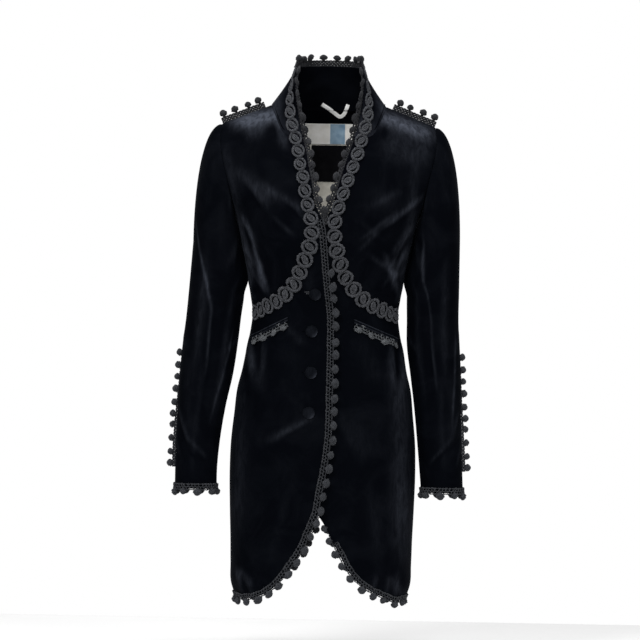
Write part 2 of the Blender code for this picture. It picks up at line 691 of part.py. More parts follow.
def armhole_loop(front, back):
    """Points round the armhole, down the front and up the back, and normals in its plane."""
    strips = ARMHOLE_STRIPS
    loop = [front[row, -1] for row in range(strips + 1)] + [back[row, -1] for row in range(strips - 1, 0, -1)]
    loop = np.array(loop)
    centre = loop.mean(axis=0)
    plane = np.zeros(3)
    for before, after in zip([loop[-1]] + list(loop[:-1]), loop):
        plane = plane + np.cross(before - centre, after - centre)
    plane /= np.linalg.norm(plane)
    if plane[0] * centre[0] < 0:
        plane = -plane
    normals = []
    for index, point in enumerate(loop):
        tangent = loop[(index + 1) % len(loop)] - loop[index - 1]
        normal = np.cross(tangent, plane)
        normal /= np.linalg.norm(normal)
        normals.append(normal if normal @ (point - centre) > 0 else -normal)
    return loop, np.array(normals), plane


def sleeve_point(side, level, column):
    """A point on the outside of a sleeve below the armhole."""
    inner, outer, middle, depth = smooth(RIGHT_SLEEVE if side == RIGHT else LEFT_SLEEVE, level)
    twist = ease((SLEEVE_FREE - level) / SLEEVE_TWIST_LENGTH)
    turn = UPPER_TURNS[column] + (LOWER_TURNS[column] - UPPER_TURNS[column]) * twist
    angle = math.radians(turn)
    puff = 1.0
    for fold_turn, start, end, height in SLEEVE_FOLDS:
        beside = (turn - fold_turn + 180) % 360 - 180
        fade = ease((start - level) / SLEEVE_FOLD_FADE) * ease((level - end) / SLEEVE_FOLD_FADE)
        puff += height * math.exp(-((beside / SLEEVE_FOLD_WIDTH) ** 2)) * fade
    across = (inner + outer) / 2 + (outer - inner) / 2 * math.cos(angle)
    return np.array((side * across, middle - depth * puff * math.sin(angle), level)) * MM


def sleeve_grid(side, loop, plane):
    """Points of a sleeve, row by row from the armhole to the cuff. The last column repeats the first."""
    count = len(loop)
    rows = []
    start = loop + plane * SEAM_GAP
    levels = np.linspace(SLEEVE_FREE, CUFF, SLEEVE_STRIPS + 1)
    free = np.array([sleeve_point(side, SLEEVE_FREE, column) for column in range(count)])
    for row in range(CAP_STRIPS + 1):
        u = row / CAP_STRIPS
        line = []
        for column in range(count):
            top_share = (1 + math.cos(math.radians(UPPER_TURNS[column]))) / 2
            leave = plane * top_share + np.array((side * CAP_LOW_WAY[0], 0, CAP_LOW_WAY[1])) * (1 - top_share)
            reach = CAP_LEAVE_LOW + (CAP_LEAVE_TOP - CAP_LEAVE_LOW) * top_share
            leave = leave / np.linalg.norm(leave) * reach
            arrive = np.array((0, 0, -1.0)) * np.linalg.norm(free[column] - start[column]) * CAP_ARRIVAL
            line.append(
                (2 * u**3 - 3 * u**2 + 1) * start[column] + (u**3 - 2 * u**2 + u) * leave
                + (3 * u**2 - 2 * u**3) * free[column] + (u**3 - u**2) * arrive
            )
        rows.append(line + [line[0]])
    for level in levels[1:]:
        line = [sleeve_point(side, level, column) for column in range(count)]
        rows.append(line + [line[0]])
    return np.array(rows)


def outward_way(name, point):
    """A rough way out of the coat at a point, to tell which side of a panel is the right side."""
    if name.startswith("sleeve"):
        side = 1 if point[0] > 0 else -1
        middle = np.interp(point[2], *SLEEVE_MIDDLES)
        lean = SLEEVE_CAP_LEAN if point[2] > SLEEVE_CAP_FOOT else 0.0
        return np.array((point[0] - side * middle, point[1], lean))
    if name == "collar":
        return np.array((point[0], point[1] - COLLAR_CENTRE, 0.0))
    return np.array((point[0] * BODY_FLATNESS, point[1], SHOULDER_LEAN if point[2] > SHOULDER_FOOT else 0.0))


def add_panel(name, grid, normals, gaps, cloth, collection):
    """A cloth wall of a panel, its rims pulled in by half the seam gap where it meets its neighbours."""
    outer = pull_rims(grid, **gaps)
    inner = pull_rims(grid - normals * WALL, **gaps)
    if name.startswith("bodice"):
        outer, inner = pull_side_seam(outer, SEAM_GAP / 2), pull_side_seam(inner, SEAM_GAP / 2)
    rows, columns = grid.shape[:2]
    faces = grid_faces(rows, columns)
    return add_wall(name, faces, outer.reshape(-1, 3), inner.reshape(-1, 3), cloth, collection)


def add_body_panels(grids, normals, collection):
    """The bodice, skirt and collar pieces."""
    half = SEAM_GAP / 2
    for name, grid in grids.items():
        if name == "collar":
            gaps = {"top": SEAM_GAP}
        elif name.startswith("bodice"):
            gaps = {"top": half, "bottom": half, "left": half if "back" in name else 0.0, "right": 0.0}
        else:
            gaps = {"top": half, "left": half if "back" in name else 0.0, "right": half}
        add_panel(name, grid, normals[name], gaps, "velvet", collection)


def pull_side_seam(grid, distance):
    """Moves the last column below the armhole inwards, and leaves the armhole where it is."""
    moved = grid.copy()
    way = grid[ARMHOLE_STRIPS + 1:, -2] - grid[ARMHOLE_STRIPS + 1:, -1]
    moved[ARMHOLE_STRIPS + 1:, -1] += way / np.linalg.norm(way, axis=1, keepdims=True) * distance
    return moved


def add_sleeves(loops, collection):
    """Upper and under sleeves, and what the trims need of each: its grid and normals."""
    found = {}
    for side, word in ((RIGHT, "right"), (LEFT, "left")):
        loop, loop_normals, plane = loops[side]
        grid = sleeve_grid(side, loop, plane)
        name = "sleeve_" + word
        normals = shared_normals({name: grid}, outward_way)[name]
        normals[0, :-1] = loop_normals
        normals[0, -1] = loop_normals[0]
        found[side] = (grid, normals)
        count = len(loop)
        upper = [column % count for column in range(BACK_SEAM_COLUMN, count + FRONT_SEAM_COLUMN + 1)]
        under = list(range(FRONT_SEAM_COLUMN, BACK_SEAM_COLUMN + 1))
        for piece, columns in (("sleeve_upper_", upper), ("sleeve_under_", under)):
            pulls = {"left": SLEEVE_SEAM_PULL, "right": SLEEVE_SEAM_PULL}
            add_panel(piece + word, grid[:, columns], normals[:, columns], pulls, "velvet", collection)
    return found


def add_buttons(tree, collection):
    """Four covered domes on the overlapping front, as turned shapes."""
    for index, (across, level) in enumerate(BUTTONS, start=1):
        name = f"button_{index}"
        mesh = bpy.data.meshes.new(name)
        points = [(radius * MM, 0, height * MM) for radius, height in BUTTON_PROFILE]
        mesh.from_pydata(points, [(step, step + 1) for step in range(len(points) - 1)], [])
        button = add_object(name, mesh, "velvet", collection)
        screw = button.modifiers.new("Turn", "SCREW")
        screw.steps = screw.render_steps = BUTTON_SIDES
        screw.use_merge_vertices = True
        screw.merge_threshold = 0.0001
        button.matrix_world = button_seat(tree, body_point(RIGHT, across, level))


def button_seat(tree, point):
    """Where a button stands: square to the cloth, and just clear of it at the highest point under its rim."""
    place, normal = on_cloth(tree, point, (0, -1, 0), 0.0)
    turned = Vector(normal).to_track_quat("Z", "Y").to_matrix()
    radius = BUTTON_PROFILE[-2][0] * MM
    highest = 0.0
    for step in range(BUTTON_SIDES):
        angle = 2 * math.pi * step / BUTTON_SIDES
        rim = turned @ Vector((radius * math.cos(angle), radius * math.sin(angle), 0))
        below, _ = on_cloth(tree, place + np.array(rim), normal, 0.0)
        highest = max(highest, float((below - place) @ normal))
    return Matrix.Translation(place + normal * (highest + BUTTON_GAP)) @ turned.to_4x4()


def pocket_line(side, drop, count=8):
    """Flat points along a pocket, a distance below its top line."""
    (x0, z0), (x1, z1) = WELTS[side]
    return [
        (x0 + (x1 - x0) * step / count, z0 + (z1 - z0) * step / count - drop) for step in range(count + 1)
    ]


def add_pockets(trees, collection):
    """A narrow slanted welt on each side, with bobble braid hanging below it."""
    for side, word in ((RIGHT, "right"), (LEFT, "left")):
        tree = trees[side]
        layers = []
        for lift in (WELT_LIFT + WELT_THICKNESS, WELT_LIFT):
            rows = [
                [
                    on_cloth(tree, body_point(side, x, z), (0, -1, 0), lift)[0]
                    for x, z in pocket_line(side, drop)
                ]
                for drop in (0, WELT_HEIGHT / 2, WELT_HEIGHT)
            ]
            layers.append(np.array(rows))
        add_wall("pocket_welt_" + word, grid_faces(3, layers[0].shape[1]), layers[0].reshape(-1, 3),
                 layers[1].reshape(-1, 3), "velvet", collection)
        places = pocket_line(side, POCKET_BRAID_DROP)
        line = [on_cloth(tree, body_point(side, x, z), (0, -1, 0), 0) for x, z in places]
        path = EdgePath([point for point, _ in line], [normal for _, normal in line])
        poms = pom_places(path.length, POCKET_MARGIN)
        add_bobble_braid("pocket_braid_" + word, path, poms, lambda point: (0, 0, -1),
                         collection, tree=tree, inside=4.7 * MM, base=WELT_LIFT, pom_tree=tree)


def add_ring_braids(grids, trees, collection):
    """Ring braid from the collar's top corner down the neck edge and along the bodice seam to the side."""
    collar = grids["collar"]
    for side, word, edge, beside in ((RIGHT, "right", -1, -2), (LEFT, "left", 0, 1)):
        points = []
        for row in range(COLLAR_STRIPS, 0, -1):
            way = collar[row, beside] - collar[row, edge]
            points.append(collar[row, edge] + way / np.linalg.norm(way) * RING_INSET)
        points[0] = points[0] + (points[1] - points[0]) * RING_TOP_SHARE
        table = sorted(RIGHT_RINGS if side == RIGHT else LEFT_RINGS, reverse=True)[1:]
        keyed = [(index, across, level) for index, (level, across) in enumerate(table)]
        last = len(table) - 1
        steps = np.linspace(0, last, RING_PATH_STEPS)
        points += [body_point(side, *smooth(keyed, step)) for step in steps]
        spots = [on_cloth(trees[side], point, outward_way("collar", point), 0) for point in points]
        path = EdgePath([point for point, _ in spots], [normal for _, normal in spots])
        add_ring_braid("ring_braid_" + word, path, trees[side], collection)


def edge_points(grids, normals, parts):
    """Points and normals along panel edges. Each part is a name with the rows and columns that it follows."""
    points, found = [], []
    for name, rows, columns in parts:
        points += list(grids[name][rows, columns].reshape(-1, 3))
        found += list(normals[name][rows, columns].reshape(-1, 3))
    keep = [0] + [i for i in range(1, len(points)) if np.linalg.norm(points[i] - points[i - 1]) > 1 * MM]
    return [points[i] for i in keep], [found[i] for i in keep]


def cut_path(points, normals, start, end):
    """A path with its ends taken off. Start and end are lengths from its two ends."""
    whole = EdgePath(points, normals)
    finish = whole.length - end
    middle = [length for length in whole.lengths if start + CUT_CLEAR < length < finish - CUT_CLEAR]
    places = [start] + middle + [finish]
    return EdgePath([whole.at(place)[0] for place in places], [whole.at(place)[1] for place in places])


def add_edge_braids(grids, normals, trees, collection):
    """Bobble braid on the neck edge, the front edge and the skirt corners, front and back."""
    bottom, top = slice(None), slice(None, None, -1)
    for side, word, collar_column in ((RIGHT, "right", -1), (LEFT, "left", 0)):
        neck_rows = slice(0, ARMHOLE_STRIPS)
        points, found = edge_points(grids, normals, (
            ("collar", top, collar_column), ("bodice_front_" + word, neck_rows, 0)))
        path = cut_path(points, found, 2 * MM, 2 * MM)
        poms = pom_places(path.length - NECK_BARE, NECK_MARGIN)
        add_bobble_braid("neck_braid_" + word, path, poms, lambda point, side=side: (-0.3 * side, -1, 0),
                         collection, inside=NECK_INSIDE, base=-(WALL + NECK_BRAID_DROP + STRIP_THICKNESS),
                         rise=NECK_RISE)
    points, found = edge_points(grids, normals, (
        ("bodice_front_right", slice(ARMHOLE_STRIPS, None), 0), ("skirt_front_right", bottom, 0),
        ("skirt_front_right", -1, bottom)))
    path = cut_path(points, found, FRONT_START, 0.4 * MM)
    poms = pom_places(path.length, HEM_MARGIN, start=FRONT_BARE)
    add_bobble_braid("front_braid_right", path, poms, hem_way(RIGHT), collection, tree=trees[RIGHT],
                     rise=FRONT_RISE)
    points, found = edge_points(grids, normals, (("skirt_front_left", -1, bottom),))
    path = cut_path(points, found, 3 * MM, 0.4 * MM)
    poms = pom_places(path.length, HEM_MARGIN, start=LEFT_START)
    add_bobble_braid("front_braid_left", path, poms, hem_way(LEFT), collection, tree=trees[LEFT])
    for side, word in ((RIGHT, "right"), (LEFT, "left")):
        name = "skirt_back_" + word
        points, found = edge_points(grids, normals, ((name, -1, bottom),))
        path = cut_path(points, found, BACK_CUT, SEAM_GAP)
        poms = pom_places(path.length, HEM_MARGIN, start=BACK_START)
        add_bobble_braid("back_braid_" + word, path, poms, hem_way(side), collection,
                         tree=tree_of([grids[name]]))
    collar = grids["collar"]
    path = cut_path(collar[-1], normals["collar"][-1], 1 * MM, 1 * MM)
    poms = pom_places(path.length, COLLAR_MARGIN)
    add_bobble_braid("collar_braid", path, poms, lambda point: (0, 0, 1), collection,
                     tree=tree_of([collar]))


def hem_way(side):
    """The way off the cloth along a front edge and a rounded corner."""
    def way(point):
        return np.array((-side, 0.0, -HEM_WAY_START - HEM_WAY_TURN * max(0.0, HEM_WAY_FROM - point[2])))

    return way


def add_seam_braids(grids, sleeves, collection):
    """Bobble braid along each shoulder seam, down each sleeve's outer seam, and round each cuff."""
    for side, word in ((RIGHT, "right"), (LEFT, "left")):
        tip = np.array((side * SHOULDER_TIP[0], 0, SHOULDER_TIP[1])) * MM
        neck = np.array((side * NECK_FRONT[-1][0], 0, NECK_FRONT[-1][1])) * MM
        along = (tip - neck) / np.linalg.norm(tip - neck)
        up = np.array((-along[2] * side, 0, along[0] * side))
        points = [neck + (tip - neck) * share + up * (LIFT + STRIP_INSIDE) for share in SHOULDER_BRAID_SHARES]
        path = EdgePath(points, [np.array((0, -1.0, 0))] * len(points))
        poms = pom_places(path.length, SHOULDER_MARGIN)
        add_bobble_braid("shoulder_braid_" + word, path, poms, lambda point: (0, 0, 1),
                         collection, base=-STRIP_THICKNESS / 2)
        grid, normals = sleeves[side]
        points, fronts = [], []
        for level in np.linspace(SLEEVE_BRAID[0], SLEEVE_BRAID[1], 9):
            share = (SLEEVE_FREE - level) / (SLEEVE_FREE - CUFF) * SLEEVE_STRIPS + CAP_STRIPS
            row = int(share)
            seam = grid[row:row + 2, BACK_SEAM_COLUMN]
            point = seam[0] * (1 - share + row) + seam[1] * (share - row)
            normal = normals[row, BACK_SEAM_COLUMN]
            points.append(point + normal * (LIFT + SLEEVE_BRAID_WIDTH))
            fronts.append(np.cross(normal, (0, 0, 1.0)) * side)
        path = EdgePath(points, fronts)
        add_bobble_braid("sleeve_braid_" + word, path, pom_places(path.length, 4 * MM),
                         lambda point, side=side: (side, 0, 0), collection, inside=SLEEVE_BRAID_WIDTH,
                         base=-STRIP_THICKNESS / 2)
        path = EdgePath(grid[-1, :-1], normals[-1, :-1], closed=True)
        count = int(round(path.length / POM_PITCH))
        poms = [path.length * (step + 0.5) / count for step in range(count)]
        add_bobble_braid("cuff_braid_" + word, path, poms, lambda point: (0, 0, -1), collection,
                         tree=tree_of([grid]))


def inside_points(tree, across_line, levels, gap):
    """Grid of points just inside the back of the coat, as seen from the front."""
    rows = []
    for level in levels:
        line = []
        for across in across_line:
            hit, _, _, _ = tree.ray_cast(Vector((across * MM, 0, level * MM)), Vector((0, 1, 0)))
            line.append(np.array(hit) - np.array((0, gap, 0)))
        rows.append(line)
    return np.array(rows)


def add_inside(grids, normals, collection):
    """The lining that shows at the back of the neck, its label and the hanging loop."""
    inner = [
        grids[name] - normals[name] * WALL for name in ("bodice_back_right", "bodice_back_left", "collar")
    ]
    tree = tree_of(inner)
    across_line = np.linspace(-LINING_HALF_WIDTH, LINING_HALF_WIDTH, 9)
    linings = []
    thick = np.array((0, LINING_THICKNESS, 0))
    for name, cloth, (high, low), rows in (
        ("lining_band", "lining", LINING_BAND, 3), ("lining_lower", "lining_lower", LINING_LOWER, 6),
    ):
        grid = inside_points(tree, across_line, np.linspace(high, low, rows), LINING_GAP)
        linings.append(grid - thick)
        faces = grid_faces(*grid.shape[:2])
        add_wall(name, faces, (grid - thick).reshape(-1, 3), grid.reshape(-1, 3), cloth, collection)
    lining_tree = tree_of(linings)
    grid = inside_points(lining_tree, np.linspace(*LABEL_ACROSS, 4), np.linspace(*LABEL_HEIGHT, 4), LABEL_GAP)
    add_wall("neck_label", grid_faces(4, 4), (grid - thick).reshape(-1, 3), grid.reshape(-1, 3), "label",
             collection)
    upper, lower = [], []
    for index, (across, level) in enumerate(LOOP_PATH):
        before, after = LOOP_PATH[max(index - 1, 0)], LOOP_PATH[min(index + 1, len(LOOP_PATH) - 1)]
        way = np.array((after[0] - before[0], after[1] - before[1]), float)
        way /= np.linalg.norm(way)
        upper.append((across - way[1] * LOOP_WIDTH, level + way[0] * LOOP_WIDTH))
        lower.append((across + way[1] * LOOP_WIDTH, level - way[0] * LOOP_WIDTH))
    layers = []
    for gap in LOOP_GAPS:
        rows = [[inside_points(tree, [x], [z], gap)[0, 0] for x, z in line] for line in (upper, lower)]
        layers.append(np.array(rows).reshape(-1, 3))
    add_wall("hanging_loop", grid_faces(2, len(LOOP_PATH)), layers[0], layers[1], "tape", collection)


def main():
    """Builds the whole coat."""
    for found in list(bpy.data.objects):
        bpy.data.objects.remove(found, do_unlink=True)
    collection = bpy.data.collections.new("frock_coat")
    bpy.context.scene.collection.children.link(collection)
    grids = {}
    back_bodice, back_skirt = back_grids()
    for side, word in ((RIGHT, "right"), (LEFT, "left")):
        bodice, skirt = front_grids(side)
        grids["bodice_front_" + word] = placed(bodice, side, shoulder_from=NECK_STRIPS)
        grids["skirt_front_" + word] = placed(skirt, side)
        grids["bodice_back_" + word] = placed(back_bodice, side, True, BACK_NECK_STRIPS)
        grids["skirt_back_" + word] = placed(back_skirt, side, True)
    mirror = np.array((-1.0, 1.0, 1.0))
    halves = []
    for side, word in ((LEFT, "left"), (RIGHT, "right")):
        flip = mirror if side == RIGHT else np.ones(3)
        neck_front = grids["bodice_front_" + word][0, : NECK_STRIPS + 1] * flip
        neck_back = grids["bodice_back_" + word][0, BACK_NECK_STRIPS::-1] * flip
        halves.append(collar_grid(neck_front, neck_back) * flip)
    grids["collar"] = np.concatenate((halves[0], halves[1][:, -2::-1]), axis=1)
    normals = shared_normals(grids, outward_way)
    loops = {}
    for side, word in ((RIGHT, "right"), (LEFT, "left")):
        front, back = "bodice_front_" + word, "bodice_back_" + word
        loops[side] = armhole_loop(grids[front], grids[back])
        loop_normals = loops[side][1]
        for row in range(ARMHOLE_STRIPS + 1):
            normals[front][row, -1] = loop_normals[row]
            normals[back][row, -1] = loop_normals[-row if row else 0]
        normals[back][ARMHOLE_STRIPS, -1] = loop_normals[ARMHOLE_STRIPS]
    add_body_panels(grids, normals, collection)
    sleeves = add_sleeves(loops, collection)
    trees = {
        side: tree_of([grids["bodice_front_" + word], grids["skirt_front_" + word], grids["collar"]])
        for side, word in ((RIGHT, "right"), (LEFT, "left"))
    }
    add_buttons(trees[RIGHT], collection)
    add_pockets(trees, collection)
    add_ring_braids(grids, trees, collection)
    add_edge_braids(grids, normals, trees, collection)
    add_seam_braids(grids, sleeves, collection)
    add_inside(grids, normals, collection)


main()
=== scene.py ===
"""Looks of a velvet frock coat: creased velvet, ring braid, bobble braid, buttons and the inside of the neck.

Every cloth piece repeats the form of the frame's solid at a finer grid and adds the creases and seams.
The coat's front faces -Y, +Z is up, and tables are in millimetres.
"""

import logging
import math
from collections.abc import Callable
from dataclasses import dataclass, field
from enum import Enum

import bmesh
import bpy
import numpy as np
from mathutils import Matrix, Vector
from mathutils.bvhtree import BVHTree

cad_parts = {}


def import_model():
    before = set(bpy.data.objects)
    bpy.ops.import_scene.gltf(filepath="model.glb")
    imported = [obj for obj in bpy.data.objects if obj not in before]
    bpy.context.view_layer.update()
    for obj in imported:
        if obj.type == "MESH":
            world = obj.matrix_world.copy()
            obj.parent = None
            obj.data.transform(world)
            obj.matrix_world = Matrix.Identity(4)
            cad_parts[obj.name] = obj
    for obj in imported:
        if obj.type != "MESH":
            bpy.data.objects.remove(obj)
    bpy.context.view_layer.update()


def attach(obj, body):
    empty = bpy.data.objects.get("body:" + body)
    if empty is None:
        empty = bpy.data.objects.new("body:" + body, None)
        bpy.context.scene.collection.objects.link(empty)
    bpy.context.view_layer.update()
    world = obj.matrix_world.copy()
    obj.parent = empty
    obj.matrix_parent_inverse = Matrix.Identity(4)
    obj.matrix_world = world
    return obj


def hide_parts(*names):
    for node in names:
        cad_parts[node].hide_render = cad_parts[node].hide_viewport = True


log = logging.getLogger("frock_coat")

MM = 0.001
WALL = 2.2 * MM
SEAM_GAP = 0.4 * MM
ROUNDNESS = 2.2
UNDERLAP_DROP = 5.0 * MM
UNDERLAP_FROM, UNDERLAP_TO = 24 * MM, 58 * MM
NECK_SHARE, BACK_NECK_SHARE = 3 / 8, 4 / 9
EDGE_CROWDING = 1.4
UNDERARM, WAIST, HEM_AT_SIDE, VENT_TOP = -205, -379, -890, -738
SLEEVE_FREE, CUFF = -250, -697
FRONT_SEAM, BACK_SEAM, LOOP_STEPS = 6, 12, 14
ROLL_SHARES = (0.25, 0.6)
ROLL_POINTS = 2 * len(ROLL_SHARES)

Rows = tuple[tuple[float, ...], ...]
Array = Grid = np.ndarray
Way = Callable[[Array], Array]
Piece, Material, Socket = bpy.types.Object, bpy.types.Material, bpy.types.NodeSocket
FORWARD, DOWN = np.array((0, -1.0, 0)), np.array((0, 0, -1.0))

BODY: Rows = (
    (-900, 151, 99, 108), (-886, 156, 100, 109), (-868, 162, 102, 110), (-828, 164, 103, 111),
    (-785, 165, 103, 112), (-731, 167, 104, 114), (-662, 168.5, 105, 116), (-608, 167, 104, 116),
    (-558, 162, 103, 114), (-513, 157, 101, 110), (-481, 149, 97, 104), (-443, 142, 93, 97),
    (-407, 135, 88, 89), (-378, 132, 85, 83), (-350, 135.5, 88, 84), (-320, 140.5, 95, 88),
    (-280, 147.5, 107, 94), (-250, 154.5, 113, 99), (-223, 161, 115, 103), (-205, 166, 114, 105),
    (-190, 173, 112, 106), (-169, 188, 109, 106), (-119, 219, 96, 104), (-76, 231, 81, 98),
    (-50, 211, 71, 92), (-36, 194, 66, 88), (-24, 164, 61, 82), (-12, 134, 56, 77), (0, 104, 50, 72),
)
NECK_FRONT: Rows = ((46, -63), (80, -54), (97, -20), (104, 0))
SHOULDER_TIP = (194, -36)
ARMHOLE: Rows = (
    (194, -36), (195.5, -58), (194, -82), (189, -108), (182, -136), (175, -163), (169, -188), (166, UNDERARM),
)
COLLAR_TOP: Rows = (
    (0, 58, -44, 68), (0.2, 60, -22, 68.3), (0.43, 61, 4, 69.5), (0.6, 53, 34, 71.5), (0.8, 30, 54, 74),
    (1, 0, 61, 75),
)
COLLAR_FRONT: Rows = (
    (0, 46, -75, -63), (0.3, 55.5, -72, -23), (0.55, 61.5, -65, 11), (0.8, 63, -54, 43), (1, 58, -44, 68),
)
COLLAR_HOLLOW = 5 * MM
COLLAR_HOLLOW_PACE = 1.6
BACK_HEM: Rows = (
    (0, VENT_TOP), (9, -758), (19, -782), (31, -806), (43, -826), (55, -845), (69, -860), (84, -872),
    (100, -881), (115, -888), (133, -893), (156, HEM_AT_SIDE),
)
UPPER_TURNS = (0, 25.7, 51.4, 77.1, 102.9, 128.6, 152, 180, 208, 231.4, 257.1, 282.9, 308.6, 334.3, 360)
LOWER_TURNS = (38, 57, 75, 93, 111, 129, 147, 178, 208, 238, 268, 313, 358, 378, 398)
SLEEVE_TWIST = 150
SLEEVE_FOLDS: Rows = ((70, -290, -560, 0.05), (118, -330, -640, -0.05), (250, -300, -600, 0.05))
CAP_LEAVE_LOW, CAP_LEAVE_TOP = 28 * MM, 115 * MM


class Side(Enum):
    """The wearer's two sides, as the sign of X."""

    RIGHT = -1
    LEFT = 1

    @property
    def word(self) -> str:
        """The side's name as it stands in the node names."""
        return self.name.lower()


class Lie(Enum):
    """How a trim lies: over an edge, flat on the cloth, or upright on a seam."""

    EDGE = 1
    FLAT = 2
    UPRIGHT = 3


class Weave(Enum):
    """How a bobble braid is worked. The value is its outer edge off the root line, in millimetres."""

    OPEN = 1.0
    CLOSE = 1.4
    WIDE = 5.0


@dataclass(frozen=True)
class FrontTables:
    """The lines that differ between the two fronts and sleeves."""

    edge: Rows
    hem: Rows
    bust_seam: Rows
    rings: Rows
    sleeve: Rows
    pocket: Rows


FRONTS: dict[Side, FrontTables] = {
    Side.RIGHT: FrontTables(
        edge=(
            (-736, 8), (-711, 4.6), (-659, -4.6), (-608, -11.2), (-515, -13.2), (-425, -13.2), (-371, -11.6),
            (-346, -8), (-322, -5.1), (-288, -1.2), (-254, 1.9), (-225, 5.5), (-205, 11), (-187, 20),
            (-163, 26), (-137, 30), (-112, 35.5), (-86, 40), (-63, 46),
        ),
        hem=(
            (8, -736), (19, -763), (34, -800), (44, -817), (55, -833), (66, -849), (80, -866), (94, -878.5),
            (109, -886.6), (123, -891), (137, -893), (156, HEM_AT_SIDE),
        ),
        bust_seam=((0, -270), (0.1, -272), (0.2, -292), (0.32, -328), (0.45, -350), (0.62, -364), (1, WAIST)),
        rings=(
            (-379, 128), (-373, 116), (-365, 103), (-357, 89), (-344, 73), (-328, 59), (-308, 49), (-283, 39),
            (-260, 31), (-236, 27), (-211, 28), (-187, 34), (-163, 40), (-137, 44), (-112, 50), (-86, 54),
            (-63, 60),
        ),
        sleeve=(
            (CUFF, 191, 267, -16, 37), (-664, 191, 267, -15, 37.5), (-612, 187, 266.5, -12, 39),
            (-545, 177, 264.5, -8, 42), (-488, 165, 262, -5, 45), (-428, 157, 257, -2, 47),
            (-389, 153, 252.5, 0, 48), (-335, 147.5, 248, 1, 50), (-300, 150.5, 245.5, 2, 51),
            (SLEEVE_FREE, 159, 242, 2, 53),
        ),
        pocket=((67, -384), (130, -417)),
    ),
    Side.LEFT: FrontTables(
        edge=(
            (-744, 1), (-725, -16), (-700, -28), (-650, -38), (-500, -40), (-300, -40), (-280, -38),
            (-250, -25), (-225, -11), (-205, 0), (-187, 8), (-163, 15), (-137, 22), (-112, 29.5), (-86, 38),
            (-63, 46),
        ),
        hem=(
            (1, -744), (5, -751), (14, -769), (22, -789), (33, -809), (43.5, -829), (55, -846), (69, -860),
            (84, -871), (100, -879), (115, -886), (133, -893), (156, HEM_AT_SIDE),
        ),
        bust_seam=((0, -258), (0.2, -262), (0.34, -292), (0.44, -325), (0.56, -350), (0.7, -366), (1, WAIST)),
        rings=(
            (-380, 128), (-376, 115), (-369, 101), (-362, 85), (-351, 68), (-337, 54), (-320, 40), (-299, 29),
            (-274, 21), (-248, 15.5), (-225, 13), (-201, 16), (-175, 24), (-148, 33), (-122, 42), (-97, 51),
            (-63, 60),
        ),
        sleeve=(
            (CUFF, 179, 255, -16, 37), (-664, 176, 253.5, -15, 37.5), (-612, 171, 251, -12, 39),
            (-545, 164, 249, -8, 42), (-488, 156.5, 248, -5, 45), (-428, 148.5, 244.5, -2, 47),
            (-389, 148, 242, 0, 48), (-335, 147.5, 242, 1, 50), (-300, 150.5, 242, 2, 51),
            (SLEEVE_FREE, 159, 242, 2, 53),
        ),
        pocket=((52, -386), (130, -419)),
    ),
}

# Large soft folds of the frame: start and end across and height, half width, height of the fold
FRONT_FOLDS: dict[Side, Rows] = {
    Side.RIGHT: (
        (60, -135, 118, -195, 20, 3), (30, -185, 85, -240, 18, -2.5), (118, -300, 128, -352, 11, 3),
        (140, -430, 136, -505, 12, 2.5), (112, -430, 114, -500, 11, -2.5), (20, -565, 92, -605, 16, 3),
        (140, -850, 132, -878, 12, 3),
    ),
    Side.LEFT: (
        (110, -222, 172, -168, 20, 3.5), (60, -210, 120, -255, 18, -2.5), (118, -300, 128, -352, 11, 3),
        (96, -310, 104, -350, 9, -2.5), (116, -425, 124, -520, 13, 3), (136, -430, 142, -505, 10, -2.5),
        (104, -840, 98, -868, 12, 2.5),
    ),
}
BACK_FOLDS: dict[Side, Rows] = {
    Side.RIGHT: (
        (62, -158, 128, -200, 19, 3), (38, -326, 104, -346, 12, -2.5), (112, -428, 118, -515, 13, 3),
        (64, -610, 58, -735, 17, 3),
    ),
    Side.LEFT: (
        (60, -150, 130, -205, 20, 3), (40, -330, 100, -350, 12, -2.5), (108, -420, 116, -530, 14, 3),
        (60, -600, 52, -720, 18, 3),
    ),
}

